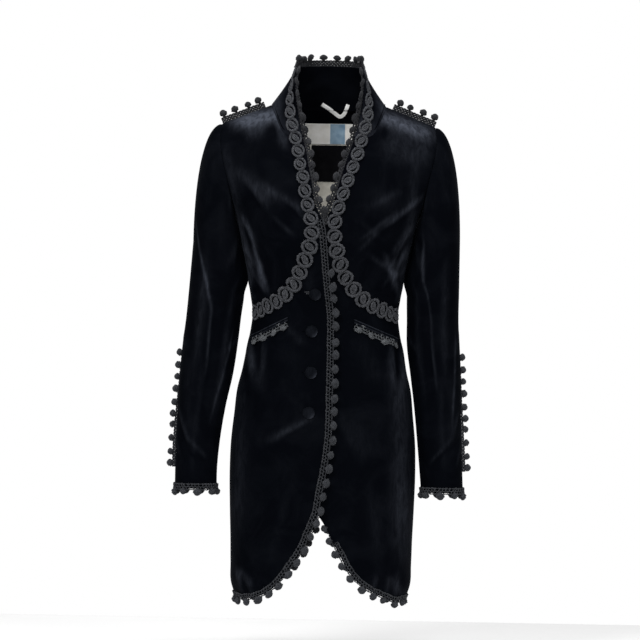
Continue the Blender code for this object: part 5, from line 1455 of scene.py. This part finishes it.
    def rings(self, name: str, course: Course, tree: BVHTree) -> Piece:
        """Ring braid along a course on the cloth, narrower on the neck and close-set near the side seam."""
        links = int(course.length / self.pitch) + 1
        places = np.array([(self.pitch * (index + 0.5), 0.0, 0.0) for index in range(links)])
        mesh = self.repeater.spread(self.ring, places, self.finishes.braid, (0.03, 0.05, 0.22), 0.05, 11)
        flat = np.array([vert.co for vert in mesh.vertices])
        way = np.linspace(0, links * self.pitch, 200)
        pace = 1 - 0.3 * ease((way - (links - 5.5) * self.pitch) / (4 * self.pitch))
        reached = np.concatenate(([0.0], ((pace[1:] + pace[:-1]) / 2 * np.diff(way)).cumsum()))
        share = flat[:, 0] / (links * self.pitch)
        flat[:, 0] = np.interp(flat[:, 0], way, reached * course.length / reached[-1])
        flat[:, 1] *= 0.8 + 0.24 * ease((share - 0.42) / 0.2)
        mesh.vertices.foreach_set("co", flat.reshape(-1))
        return self.lay(name, [mesh], course, Lie.FLAT, 0.9 * MM, tree, self.finishes.braid)


def pom_places(length: float, margin: float, start: float = 0.0, pitch: float = 25 * MM) -> list[float]:
    """Lengths along a course at which bobbles stand, evenly shared."""
    run = length - start - 2 * margin
    count = max(int(round(run / pitch)), 1)
    return [start + margin + run * step / count for step in range(count + 1)]


@dataclass
class Edging:
    """All the braid of the coat."""

    body: CoatBody
    sleeves: Sleeves
    trims: Trims
    pieces: dict[str, Piece] = field(default_factory=dict)
    inside: float = 6.5 * MM
    crossing_rows: int = 15
    sleeve_top: float = -442
    sleeve_foot: float = -662
    collar_margin: float = 8 * MM
    skirt_margin: float = 10 * MM
    seam_margin: float = 7 * MM
    front_start: float = 87 * MM
    corner_start: float = 6 * MM
    back_start: float = 24 * MM
    ring_shares: tuple[float, ...] = (0.985, 0.75, 0.5, 0.25)
    inset: float = 15 * MM

    def sew(self, name: str, course: Course, poms: list[float], lie: Lie, **choices: object) -> None:
        """Lays one bobble braid and keeps it under its node's name."""
        self.pieces[name] = self.trims.bobbles(name + "_trim", course, poms, lie, **choices)

    def edge(self, parts: list[tuple[str, object, object]], away: Way) -> Course:
        """A course along panel edges. Each part is a name with the rows and columns that it follows."""
        points, normals = [], []
        for name, rows, columns in parts:
            grid = self.body.grids[name]
            outward = outward_normals(grid)
            points.append(grid[rows, columns].reshape(-1, 3))
            normals.append(outward[rows, columns].reshape(-1, 3))
        line, found = np.concatenate(points), np.concatenate(normals)
        keep = np.concatenate(([True], np.linalg.norm(np.diff(line, axis=0), axis=1) > 0.05 * MM))
        return Course(line[keep], found[keep], away)

    def neck_shift(self, end: float) -> Callable[[float], float]:
        """How far the neck braid lies off the edge, more towards its lower end."""
        return lambda length: (3.4 + 4.2 * ease((length - end) / (70 * MM) + 1)) * MM

    def corner_way(self, side: Side) -> Way:
        """The way off the cloth along a front edge and a rounded corner."""
        return lambda point: np.array((-side.value, 0.0, -0.35 - 6 * max(0.0, -0.76 - point[2])))

    def build(self) -> None:
        """Makes every trim."""
        trees = {
            side: tree_of([self.body.outers[name] for name in
                           ("bodice_front_" + side.word, "skirt_front_" + side.word, "collar")])
            for side in Side
        }
        self.neck_and_front(trees)
        self.backs()
        self.seams()
        self.ring_courses(trees)

    def neck_and_front(self, trees: dict[Side, BVHTree]) -> None:
        """Bobble braid inside the neck edge, on the front edge, the rounded corners and the collar's top."""
        chest, dark = self.body.chest_rows + ROLL_POINTS, self.trims.finishes.dark
        for side, column in ((Side.RIGHT, -1), (Side.LEFT, 0)):
            parts = [("collar", slice(None, None, -1), column),
                     ("bodice_front_" + side.word, slice(0, chest + self.crossing_rows), 0)]
            way = np.array((-0.3 * side.value, -1, 0))
            course = self.edge(parts, lambda point, way=way: way).cut(2 * MM, 2 * MM)
            poms = pom_places(course.length - 2 * self.collar_margin, self.collar_margin, pitch=22 * MM)
            # The neck braid takes the darker copy of the yarn as painted shade inside the neckline
            self.sew("neck_braid_" + side.word, course, poms, Lie.UPRIGHT, base=-(WALL + 2.4 * MM),
                     rise=1.6 * MM, long=True, seed=7, shift=self.neck_shift(course.length), size=0.95,
                     weave=Weave.WIDE, squat=0.7, tuck=5.5 * MM, finish=dark)
        parts = [("bodice_front_right", slice(chest, None), 0), ("skirt_front_right", slice(None), 0),
                 ("skirt_front_right", -1, slice(None))]
        course = self.edge(parts, self.corner_way(Side.RIGHT)).cut(4 * MM, 0.4 * MM)
        poms = pom_places(course.length, self.skirt_margin, self.front_start)
        self.sew("front_braid_right", course, poms, Lie.EDGE, tree=trees[Side.RIGHT], rise=1.8 * MM,
                 long=True, size=1.04, tuck=2.6 * MM)
        parts = [("skirt_front_left", -1, slice(None))]
        course = self.edge(parts, self.corner_way(Side.LEFT)).cut(3 * MM, 0.4 * MM)
        poms = pom_places(course.length, self.skirt_margin, self.corner_start)
        self.sew("front_braid_left", course, poms, Lie.EDGE, tree=trees[Side.LEFT], seed=8, size=1.04,
                 tuck=2.6 * MM)
        course = self.edge([("collar", -1, slice(None))], lambda point: -DOWN).cut(1 * MM, 1 * MM)
        self.sew("collar_braid", course, pom_places(course.length, self.collar_margin), Lie.EDGE,
                 tree=tree_of([self.body.outers["collar"]]), long=True, seed=9, shift=lambda length: 8 * MM,
                 size=0.95, weave=Weave.CLOSE, finish=dark)

    def backs(self) -> None:
        """Bobble braid round the rounded corners of the back vent."""
        for side in Side:
            name = "skirt_back_" + side.word
            course = self.edge([(name, -1, slice(None))], self.corner_way(side)).cut(6 * MM, 0.4 * MM)
            poms = pom_places(course.length, self.skirt_margin, self.back_start)
            self.sew("back_braid_" + side.word, course, poms, Lie.EDGE,
                     tree=tree_of([self.body.outers[name]]), seed=12, size=1.04, tuck=2.6 * MM)

    def seams(self) -> None:
        """Bobble braid on the shoulder seams, the outer sleeve seams and the cuffs."""
        for side in Side:
            sign = side.value
            tip = np.array((sign * SHOULDER_TIP[0], 0, SHOULDER_TIP[1])) * MM
            neck = np.array((sign * NECK_FRONT[-1][0], 0, NECK_FRONT[-1][1])) * MM
            along = unit(tip - neck)
            up = np.array((-along[2] * sign, 0, along[0] * sign))
            shares = np.linspace(0.12, 0.98, 9)[:, None]
            points = neck + (tip - neck) * shares + up * (0.9 * MM + self.inside)
            course = Course(points, np.repeat([FORWARD], len(points), axis=0), lambda point: -DOWN)
            poms = pom_places(course.length, self.seam_margin)
            self.sew("shoulder_braid_" + side.word, course, poms, Lie.UPRIGHT, base=-1.2 * MM, seed=13,
                     weave=Weave.CLOSE, finish=self.trims.finishes.dark)
            self.sleeve_trims(side)

    def sleeve_trims(self, side: Side) -> None:
        """Bobble braid on one sleeve's outer seam and cuff."""
        grid = self.sleeves.grids[side]
        outward = outward_normals(grid, grid.mean(axis=1, keepdims=True))
        column = BACK_SEAM * self.sleeves.per_step
        level = grid[:, column, 2] / MM
        rows = np.nonzero((level <= self.sleeve_top) & (level >= self.sleeve_foot))[0]
        points = grid[rows, column] + outward[rows, column] * self.inside
        fronts = np.cross(outward[rows, column], (0, 0, 1.0)) * side.value
        course = Course(points, fronts, lambda point: np.array((side.value, 0, 0)))
        poms = pom_places(course.length, self.seam_margin, pitch=22.5 * MM)
        self.sew("sleeve_braid_" + side.word, course, poms, Lie.UPRIGHT, base=-1.2 * MM, seed=14, size=0.96,
                 shift=lambda length: (-10 + 6.5 * ease(length / (200 * MM))) * MM, weave=Weave.CLOSE,
                 tuck=2 * MM)
        course = Course(grid[-1, :-1], outward[-1, :-1], lambda point: DOWN, closed=True)
        count = int(round(course.length / self.trims.pitch))
        poms = [course.length * (step + 0.5) / count for step in range(count)]
        self.sew("cuff_braid_" + side.word, course, poms, Lie.EDGE, tree=tree_of([grid]), seed=15, size=1.08,
                 tuck=3.4 * MM)

    def ring_courses(self, trees: dict[Side, BVHTree]) -> None:
        """Ring braid from the collar's top corner down the neck edge and along the seam under the bust."""
        collar = self.body.grids["collar"]
        rows = collar.shape[0]
        lengths = np.linalg.norm(np.diff(collar, axis=1), axis=2)
        for side in Side:
            ordered = collar[:, ::-1] if side is Side.RIGHT else collar
            steps = lengths[:, ::-1] if side is Side.RIGHT else lengths
            marks = np.concatenate((np.zeros((rows, 1)), steps.cumsum(axis=1)), axis=1)
            picks = [int(round((rows - 1) * share)) for share in self.ring_shares]
            line = [np.array([np.interp(self.inset, marks[row], ordered[row, :, axis]) for axis in range(3)])
                    for row in picks]
            table = sorted(FRONTS[side].rings, reverse=True)[1:]
            keyed = tuple((index, across, level) for index, (level, across) in enumerate(table))
            flat = smooth(keyed, np.linspace(0, len(table) - 1, 90))
            line += list(body_points(side, flat[:, 0], flat[:, 1]))
            course = course_on(trees[side], line, lambda point, side=side: np.array((-side.value, 0.0, 0.0)),
                               9 * MM, lambda point: np.array((point[0], point[1] - 0.01, 0.0)))
            self.pieces["ring_braid_" + side.word] = self.trims.rings(
                "ring_braid_" + side.word + "_trim", course, trees[side])


@dataclass
class Fastenings:
    """The covered buttons with their buttonhole bars, and the slanted pockets."""

    body: CoatBody
    trims: Trims
    pieces: dict[str, Piece] = field(default_factory=dict)
    extras: list[Piece] = field(default_factory=list)

    def build(self, finishes: Finishes) -> None:
        """Makes buttons, bars and pockets."""
        tree = tree_of([self.body.outers["bodice_front_right"], self.body.outers["skirt_front_right"]])
        for number, (across, level) in enumerate(BUTTONS, start=1):
            self.pieces[f"button_{number}"] = self.button(number, across, level, tree, finishes)
        for side in Side:
            self.pocket(side, finishes)

    def button(self, number: int, across: float, level: float, tree: BVHTree, finishes: Finishes) -> Piece:
        """One velvet-covered dome, its cover gathered towards its rim."""
        profile = ((0.0, 6.6), (2.5, 6.45), (5.0, 5.95), (7.3, 5.0), (9.2, 3.7), (10.5, 2.2), (11.0, 1.1),
                   (10.6, 0.2), (8.0, 0.0), (0.0, 0.0))
        segments = 48
        body = bmesh.new()
        rings = []
        for radius, height in profile[1:-1]:
            gather = 0.22 * ease((radius - 5) / 5)
            rings.append([
                body.verts.new(((radius + gather * math.sin(angle * 12 + number)) * math.cos(angle) * MM,
                                (radius + gather * math.sin(angle * 12 + number)) * math.sin(angle) * MM,
                                (height + 0.12 * math.sin(angle * 3 + number)) * MM))
                for angle in np.linspace(0, 2 * math.pi, segments, endpoint=False)
            ])
        top, bottom = body.verts.new((0, 0, 6.6 * MM)), body.verts.new((0, 0, 0))
        for ring, after in zip(rings, rings[1:]):
            for index in range(segments):
                body.faces.new((ring[index], ring[(index + 1) % segments], after[(index + 1) % segments],
                                after[index]))
        for index in range(segments):
            body.faces.new((top, rings[0][index], rings[0][(index + 1) % segments]))
            body.faces.new((bottom, rings[-1][(index + 1) % segments], rings[-1][index]))
        place, normal = on_cloth(tree, body_points(Side.RIGHT, across, level), FORWARD)
        turned = Vector(normal).to_track_quat("Z", "Y").to_matrix().to_4x4()
        seat = Matrix.Translation(place + normal * 0.7 * MM) @ turned
        body.transform(seat)
        mesh = bpy.data.meshes.new(f"button_{number}_cover")
        body.to_mesh(mesh)
        body.free()
        # Painted sheen highlight on one side of the dome, towards +X and downwards, over a faint painted
        # sheen on the rest of it
        middle = np.mean([vert.co for vert in mesh.vertices], axis=0)
        aside = [((vert.co.x - middle[0]) - (vert.co.z - middle[2])) / (15.5 * MM) for vert in mesh.vertices]
        nap = [0.14 + 0.75 * max(0.0, share) ** 3 for share in aside]
        mesh.attributes.new("nap", "FLOAT", "POINT").data.foreach_set("value", nap)
        piece = finished(mesh.name, mesh, finishes.velvet, 60)
        self.bars(number, across, level, tree, finishes)
        return piece

    def bars(self, number: int, across: float, level: float, tree: BVHTree, finishes: Finishes) -> None:
        """The worked bars of the buttonhole beside a button."""
        rows = (4.0, 1.0) if number == 1 else (1.0,)
        for index, rise in enumerate(rows):
            start = body_points(Side.RIGHT, across + 9.5, level + rise)
            end = body_points(Side.RIGHT, across + 15.5 + rise, level + rise)
            course = course_on(tree, [start + (end - start) * share for share in np.linspace(0, 1, 5)],
                               lambda point: DOWN, 2 * MM)
            count = int(course.length / (0.62 * MM))
            places = np.array([(course.length * (step + 0.5) / count, 0.0, 0.0) for step in range(count)])
            silk = finishes.bobble if number == 1 else finishes.velvet
            mesh = self.trims.repeater.spread(self.trims.stitch, places, silk, (0, 0, 0.12), 0.06, 21)
            self.extras.append(self.trims.lay(f"buttonhole_{number}_{index + 1}", [mesh], course, Lie.UPRIGHT,
                                              0.25 * MM, None, silk))

    def pocket(self, side: Side, finishes: Finishes) -> None:
        """A slanted welt with a corded edge, and the bobble braid that lies below it."""
        tree = tree_of([self.body.outers[name + side.word] for name in ("bodice_front_", "skirt_front_")])
        (x0, z0), (x1, z1) = FRONTS[side].pocket
        shares = np.linspace(0, 1, 29)
        profile = ((0.0, 1.0), (0.7, 2.1), (1.8, 2.5), (2.9, 2.0), (3.4, 1.35), (4.4, 1.6), (6.5, 1.8),
                   (8.6, 1.6), (9.5, 0.7))
        outer, inner = [], []
        for drop, lift in profile:
            line, under = [], []
            for share in shares:
                across, level = x0 + (x1 - x0) * share, z0 + (z1 - z0) * share - drop
                place, normal = on_cloth(tree, body_points(side, across, level), FORWARD)
                line.append(place + normal * (lift + 1.0) * MM)
                under.append(place + normal * 0.4 * MM)
            outer.append(line)
            inner.append(under)
        name = "pocket_welt_" + side.word
        # Painted sheen highlight along the crests of the welt and its corded edge, one value per row of the
        # profile
        crest_highlight = np.array([0.1, 0.3, 0.42, 0.1, 0.0, 0.05, 0.3, 0.05, 0.0])
        self.pieces[name] = closed_wall(name + "_cloth", np.array(outer), np.array(inner), finishes.velvet,
                                        np.repeat(crest_highlight[:, None], len(shares), axis=1))
        line = [body_points(side, x0 + (x1 - x0) * share, z0 + (z1 - z0) * share - 15.0) for share in shares]
        course = course_on(tree, line, lambda point: DOWN)
        name = "pocket_braid_" + side.word
        poms = pom_places(course.length, 8 * MM)
        self.pieces[name] = self.trims.bobbles(name + "_trim", course, poms, Lie.FLAT,
                                               0.6 * MM, tree, long=True, seed=17, size=0.95, squat=0.6,
                                               tuck=4 * MM, finish=finishes.pale)


@dataclass
class NeckInside:
    """What shows inside the back of the neck: two linings, a bare label and the hanging loop."""

    body: CoatBody
    pieces: dict[str, Piece] = field(default_factory=dict)
    extras: list[Piece] = field(default_factory=list)

    def sheet_points(self, tree: BVHTree, xs: Array, zs: Array, gap: float) -> Grid:
        """Grid of points a gap in front of the inside of the back."""
        grid = np.zeros((len(zs), len(xs), 3))
        for row, z in enumerate(zs):
            for column, x in enumerate(xs):
                for rise in (0.0, 1.5, -1.5, 3.0, -3.0):
                    hit, _, _, _ = tree.ray_cast(Vector((x * MM, 0, (z + rise) * MM)), Vector((0, 1, 0)))
                    if hit is not None:
                        break
                grid[row, column] = (x * MM, hit.y - gap, z * MM)
        return grid

    def build(self, finishes: Finishes) -> None:
        """Makes the pieces of the inside."""
        inner = []
        for name in ("bodice_back_right", "bodice_back_left", "collar"):
            grid = self.body.grids[name]
            inner.append(grid - outward_normals(grid) * WALL)
        tree = tree_of(inner)
        wide = np.linspace(-LINING_HALF_WIDTH, LINING_HALF_WIDTH, 50)
        pieces = self.pieces
        pieces["lining_band"] = self.flat_piece("lining_band", tree, wide, np.linspace(-29, -66, 14), 1.0,
                                                finishes.lining)
        pieces["lining_lower"] = self.flat_piece("lining_lower", tree, wide, np.linspace(-67, -215, 44), 1.0,
                                                 finishes.beige)
        self.extras.append(self.flat_piece("blue_band", tree, np.linspace(3, 30, 12),
                                           np.linspace(-29.5, -65.5, 14), 2.1, finishes.blue, 0.5))
        pieces["neck_label"] = self.flat_piece("neck_label", tree, np.linspace(-31, 36.5, 24),
                                               np.linspace(-68, -135, 24), 2.8, finishes.label)
        keyed = tuple((index, *row) for index, row in enumerate(LOOP_PATH))
        line = smooth(keyed, np.linspace(0, len(LOOP_PATH) - 1, 40))
        way = unit(np.gradient(line, axis=0))
        side = np.stack((-way[:, 1], way[:, 0]), axis=-1)
        rows = []
        for share in (1.0, 0.5, 0.0, -0.5, -1.0):
            flat = line + side * 3.4 * share
            gap = 2.6 * MM + 0.5 * MM * (1 - share * share)
            rows.append([self.sheet_points(tree, np.array([x]), np.array([z]), gap)[0, 0] for x, z in flat])
        grid = np.array(rows)
        back = grid + np.array((0, 0.7 * MM, 0))
        pieces["hanging_loop"] = closed_wall("hanging_loop_tape", grid, back, finishes.tape)

    def flat_piece(self, name: str, tree: BVHTree, xs: Array, zs: Array, gap: float,
                   finish: Material, thick: float = 0.8) -> Piece:
        """One flat sewn-in piece with slightly puckered edges."""
        grid = self.sheet_points(tree, xs, zs, gap * MM)
        share_x, share_z = np.meshgrid(np.linspace(0, 1, len(xs)), np.linspace(0, 1, len(zs)))
        rim = np.minimum(np.minimum(share_x, 1 - share_x) * len(xs),
                         np.minimum(share_z, 1 - share_z) * len(zs))
        pucker = 0.25 * np.sin(share_x * 60) * np.exp(-rim)
        pucker = pucker + 0.35 * np.sin(share_z * 9 + share_x * 4) * ease(rim / 4)
        outer = grid - np.stack((0 * pucker, (thick + 0.3 + pucker * 0.6) * MM, 0 * pucker), axis=-1)
        return closed_wall(name + "_cloth", outer, grid, finish)


@dataclass(frozen=True)
class Studio:
    """The photograph's camera, a white ground and soft light."""

    distance: float = 8.0
    middle: tuple[float, float] = (-0.0095, -0.3888)
    lens: float = 248.0
    roll: float = math.radians(1.05)
    floor: float = -1.0
    ambient: float = 0.55

    def build(self) -> None:
        """Places the camera, the world, the lights and the floor."""
        scene = bpy.context.scene
        data = bpy.data.cameras.new("camera")
        data.lens, data.sensor_width, data.clip_end = self.lens, 36.0, 100.0
        camera = bpy.data.objects.new("camera", data)
        camera.matrix_world = (
            Matrix.Translation((self.middle[0], -self.distance, self.middle[1]))
            @ Matrix.Rotation(math.pi / 2, 4, "X") @ Matrix.Rotation(self.roll, 4, "Z")
        )
        scene.collection.objects.link(camera)
        scene.camera = camera
        world = bpy.data.worlds.new("white_studio")
        world.use_nodes = True
        nodes, links = world.node_tree.nodes, world.node_tree.links
        seen, lit = nodes["Background"], nodes.new("ShaderNodeBackground")
        seen.inputs["Color"].default_value = lit.inputs["Color"].default_value = (1, 1, 1, 1)
        seen.inputs["Strength"].default_value, lit.inputs["Strength"].default_value = 1.0, self.ambient
        path, mix = nodes.new("ShaderNodeLightPath"), nodes.new("ShaderNodeMixShader")
        links.new(path.outputs["Is Camera Ray"], mix.inputs["Fac"])
        links.new(lit.outputs["Background"], mix.inputs[1])
        links.new(seen.outputs["Background"], mix.inputs[2])
        links.new(mix.outputs["Shader"], nodes["World Output"].inputs["Surface"])
        scene.world = world
        scene.view_settings.view_transform = "Standard"
        for name, place, size, power in (
            ("key", (-1.6, -3.0, 2.2), 1.2, 90.0), ("fill", (2.6, -3.2, 0.9), 1.6, 50.0),
            ("top", (0.1, -0.4, 2.6), 1.4, 60.0), ("front", (-0.1, -4.2, 0.5), 0.9, 45.0),
        ):
            lamp = bpy.data.lights.new(name, "AREA")
            lamp.shape, lamp.size, lamp.energy = "DISK", size, power
            light = bpy.data.objects.new(name, lamp)
            aim = Vector((0, 0, -0.35)) - Vector(place)
            light.matrix_world = Matrix.Translation(place) @ aim.to_track_quat("-Z", "Y").to_matrix().to_4x4()
            scene.collection.objects.link(light)
        mesh = bpy.data.meshes.new("floor")
        corners = [(x, y, self.floor) for x, y in ((-1, -1), (1, -1), (1, 1), (-1, 1))]
        mesh.from_pydata(corners, [], [(0, 1, 2, 3)])
        ground = bpy.data.objects.new("floor", mesh)
        bench = NodeBench("pale_floor")
        bench.feed(bench.shader, {"Base Color": (0.86, 0.86, 0.86, 1.0), "Roughness": 0.9})
        mesh.materials.append(bench.material)
        scene.collection.objects.link(ground)


@dataclass
class FrockCoat:
    """The whole dressed coat."""

    finishes: Finishes = field(default_factory=Finishes)

    def build(self) -> dict[str, Piece]:
        """Makes every piece and says which node each stands for.

        Returns:
            Node name to piece.
        """
        body = CoatBody()
        body.build(self.finishes.velvet)
        log.info("body and collar: %d pieces", len(body.pieces))
        sleeves = Sleeves()
        sleeves.build(body, self.finishes.velvet)
        log.info("sleeves: %d pieces", len(sleeves.pieces))
        trims = Trims(self.finishes)
        edging = Edging(body, sleeves, trims)
        edging.build()
        log.info("braids: %d pieces", len(edging.pieces))
        fastenings = Fastenings(body, trims)
        fastenings.build(self.finishes)
        log.info("buttons and pockets: %d pieces", len(fastenings.pieces))
        neck = NeckInside(body)
        neck.build(self.finishes)
        log.info("inside of the neck: %d pieces", len(neck.pieces))
        for shape in (*trims.cells.values(), trims.bobble, trims.long_bobble, trims.ring, trims.stitch):
            bpy.data.objects.remove(shape, do_unlink=True)
        neck.extras.append(body.pieces.pop("collar_allowance"))
        neck.extras += [sleeves.allowance(body, side, self.finishes.velvet) for side in Side]
        pieces = {**body.pieces, **sleeves.pieces, **edging.pieces, **fastenings.pieces, **neck.pieces}
        for node, piece in pieces.items():
            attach(piece, "root")
            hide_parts(node)
        for piece in fastenings.extras + neck.extras:
            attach(piece, "root")
        return pieces


@dataclass(frozen=True)
class Cut:
    """The flat cut of a cloth piece in metres and square metres, what holds it and what is sewn on it.

    A star in a name stands for the side, and ends lists the sides that have the same cut.
    """

    node: str
    width: float
    length: float
    area: float
    held: str
    holders: tuple[str, ...]
    trims: tuple[str, ...] = ()
    ends: tuple[str, ...] = ()


def main() -> None:
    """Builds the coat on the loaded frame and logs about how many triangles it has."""
    logging.basicConfig(level=logging.INFO, format="%(name)s: %(message)s")
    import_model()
    Studio().build()
    coat = FrockCoat()
    pieces = coat.build()
    total = sum(len(piece.data.loop_triangles) or len(piece.data.polygons) * 2 for piece in pieces.values())
    log.info("about %d triangles", total)


if __name__ == "__main__":
    main()
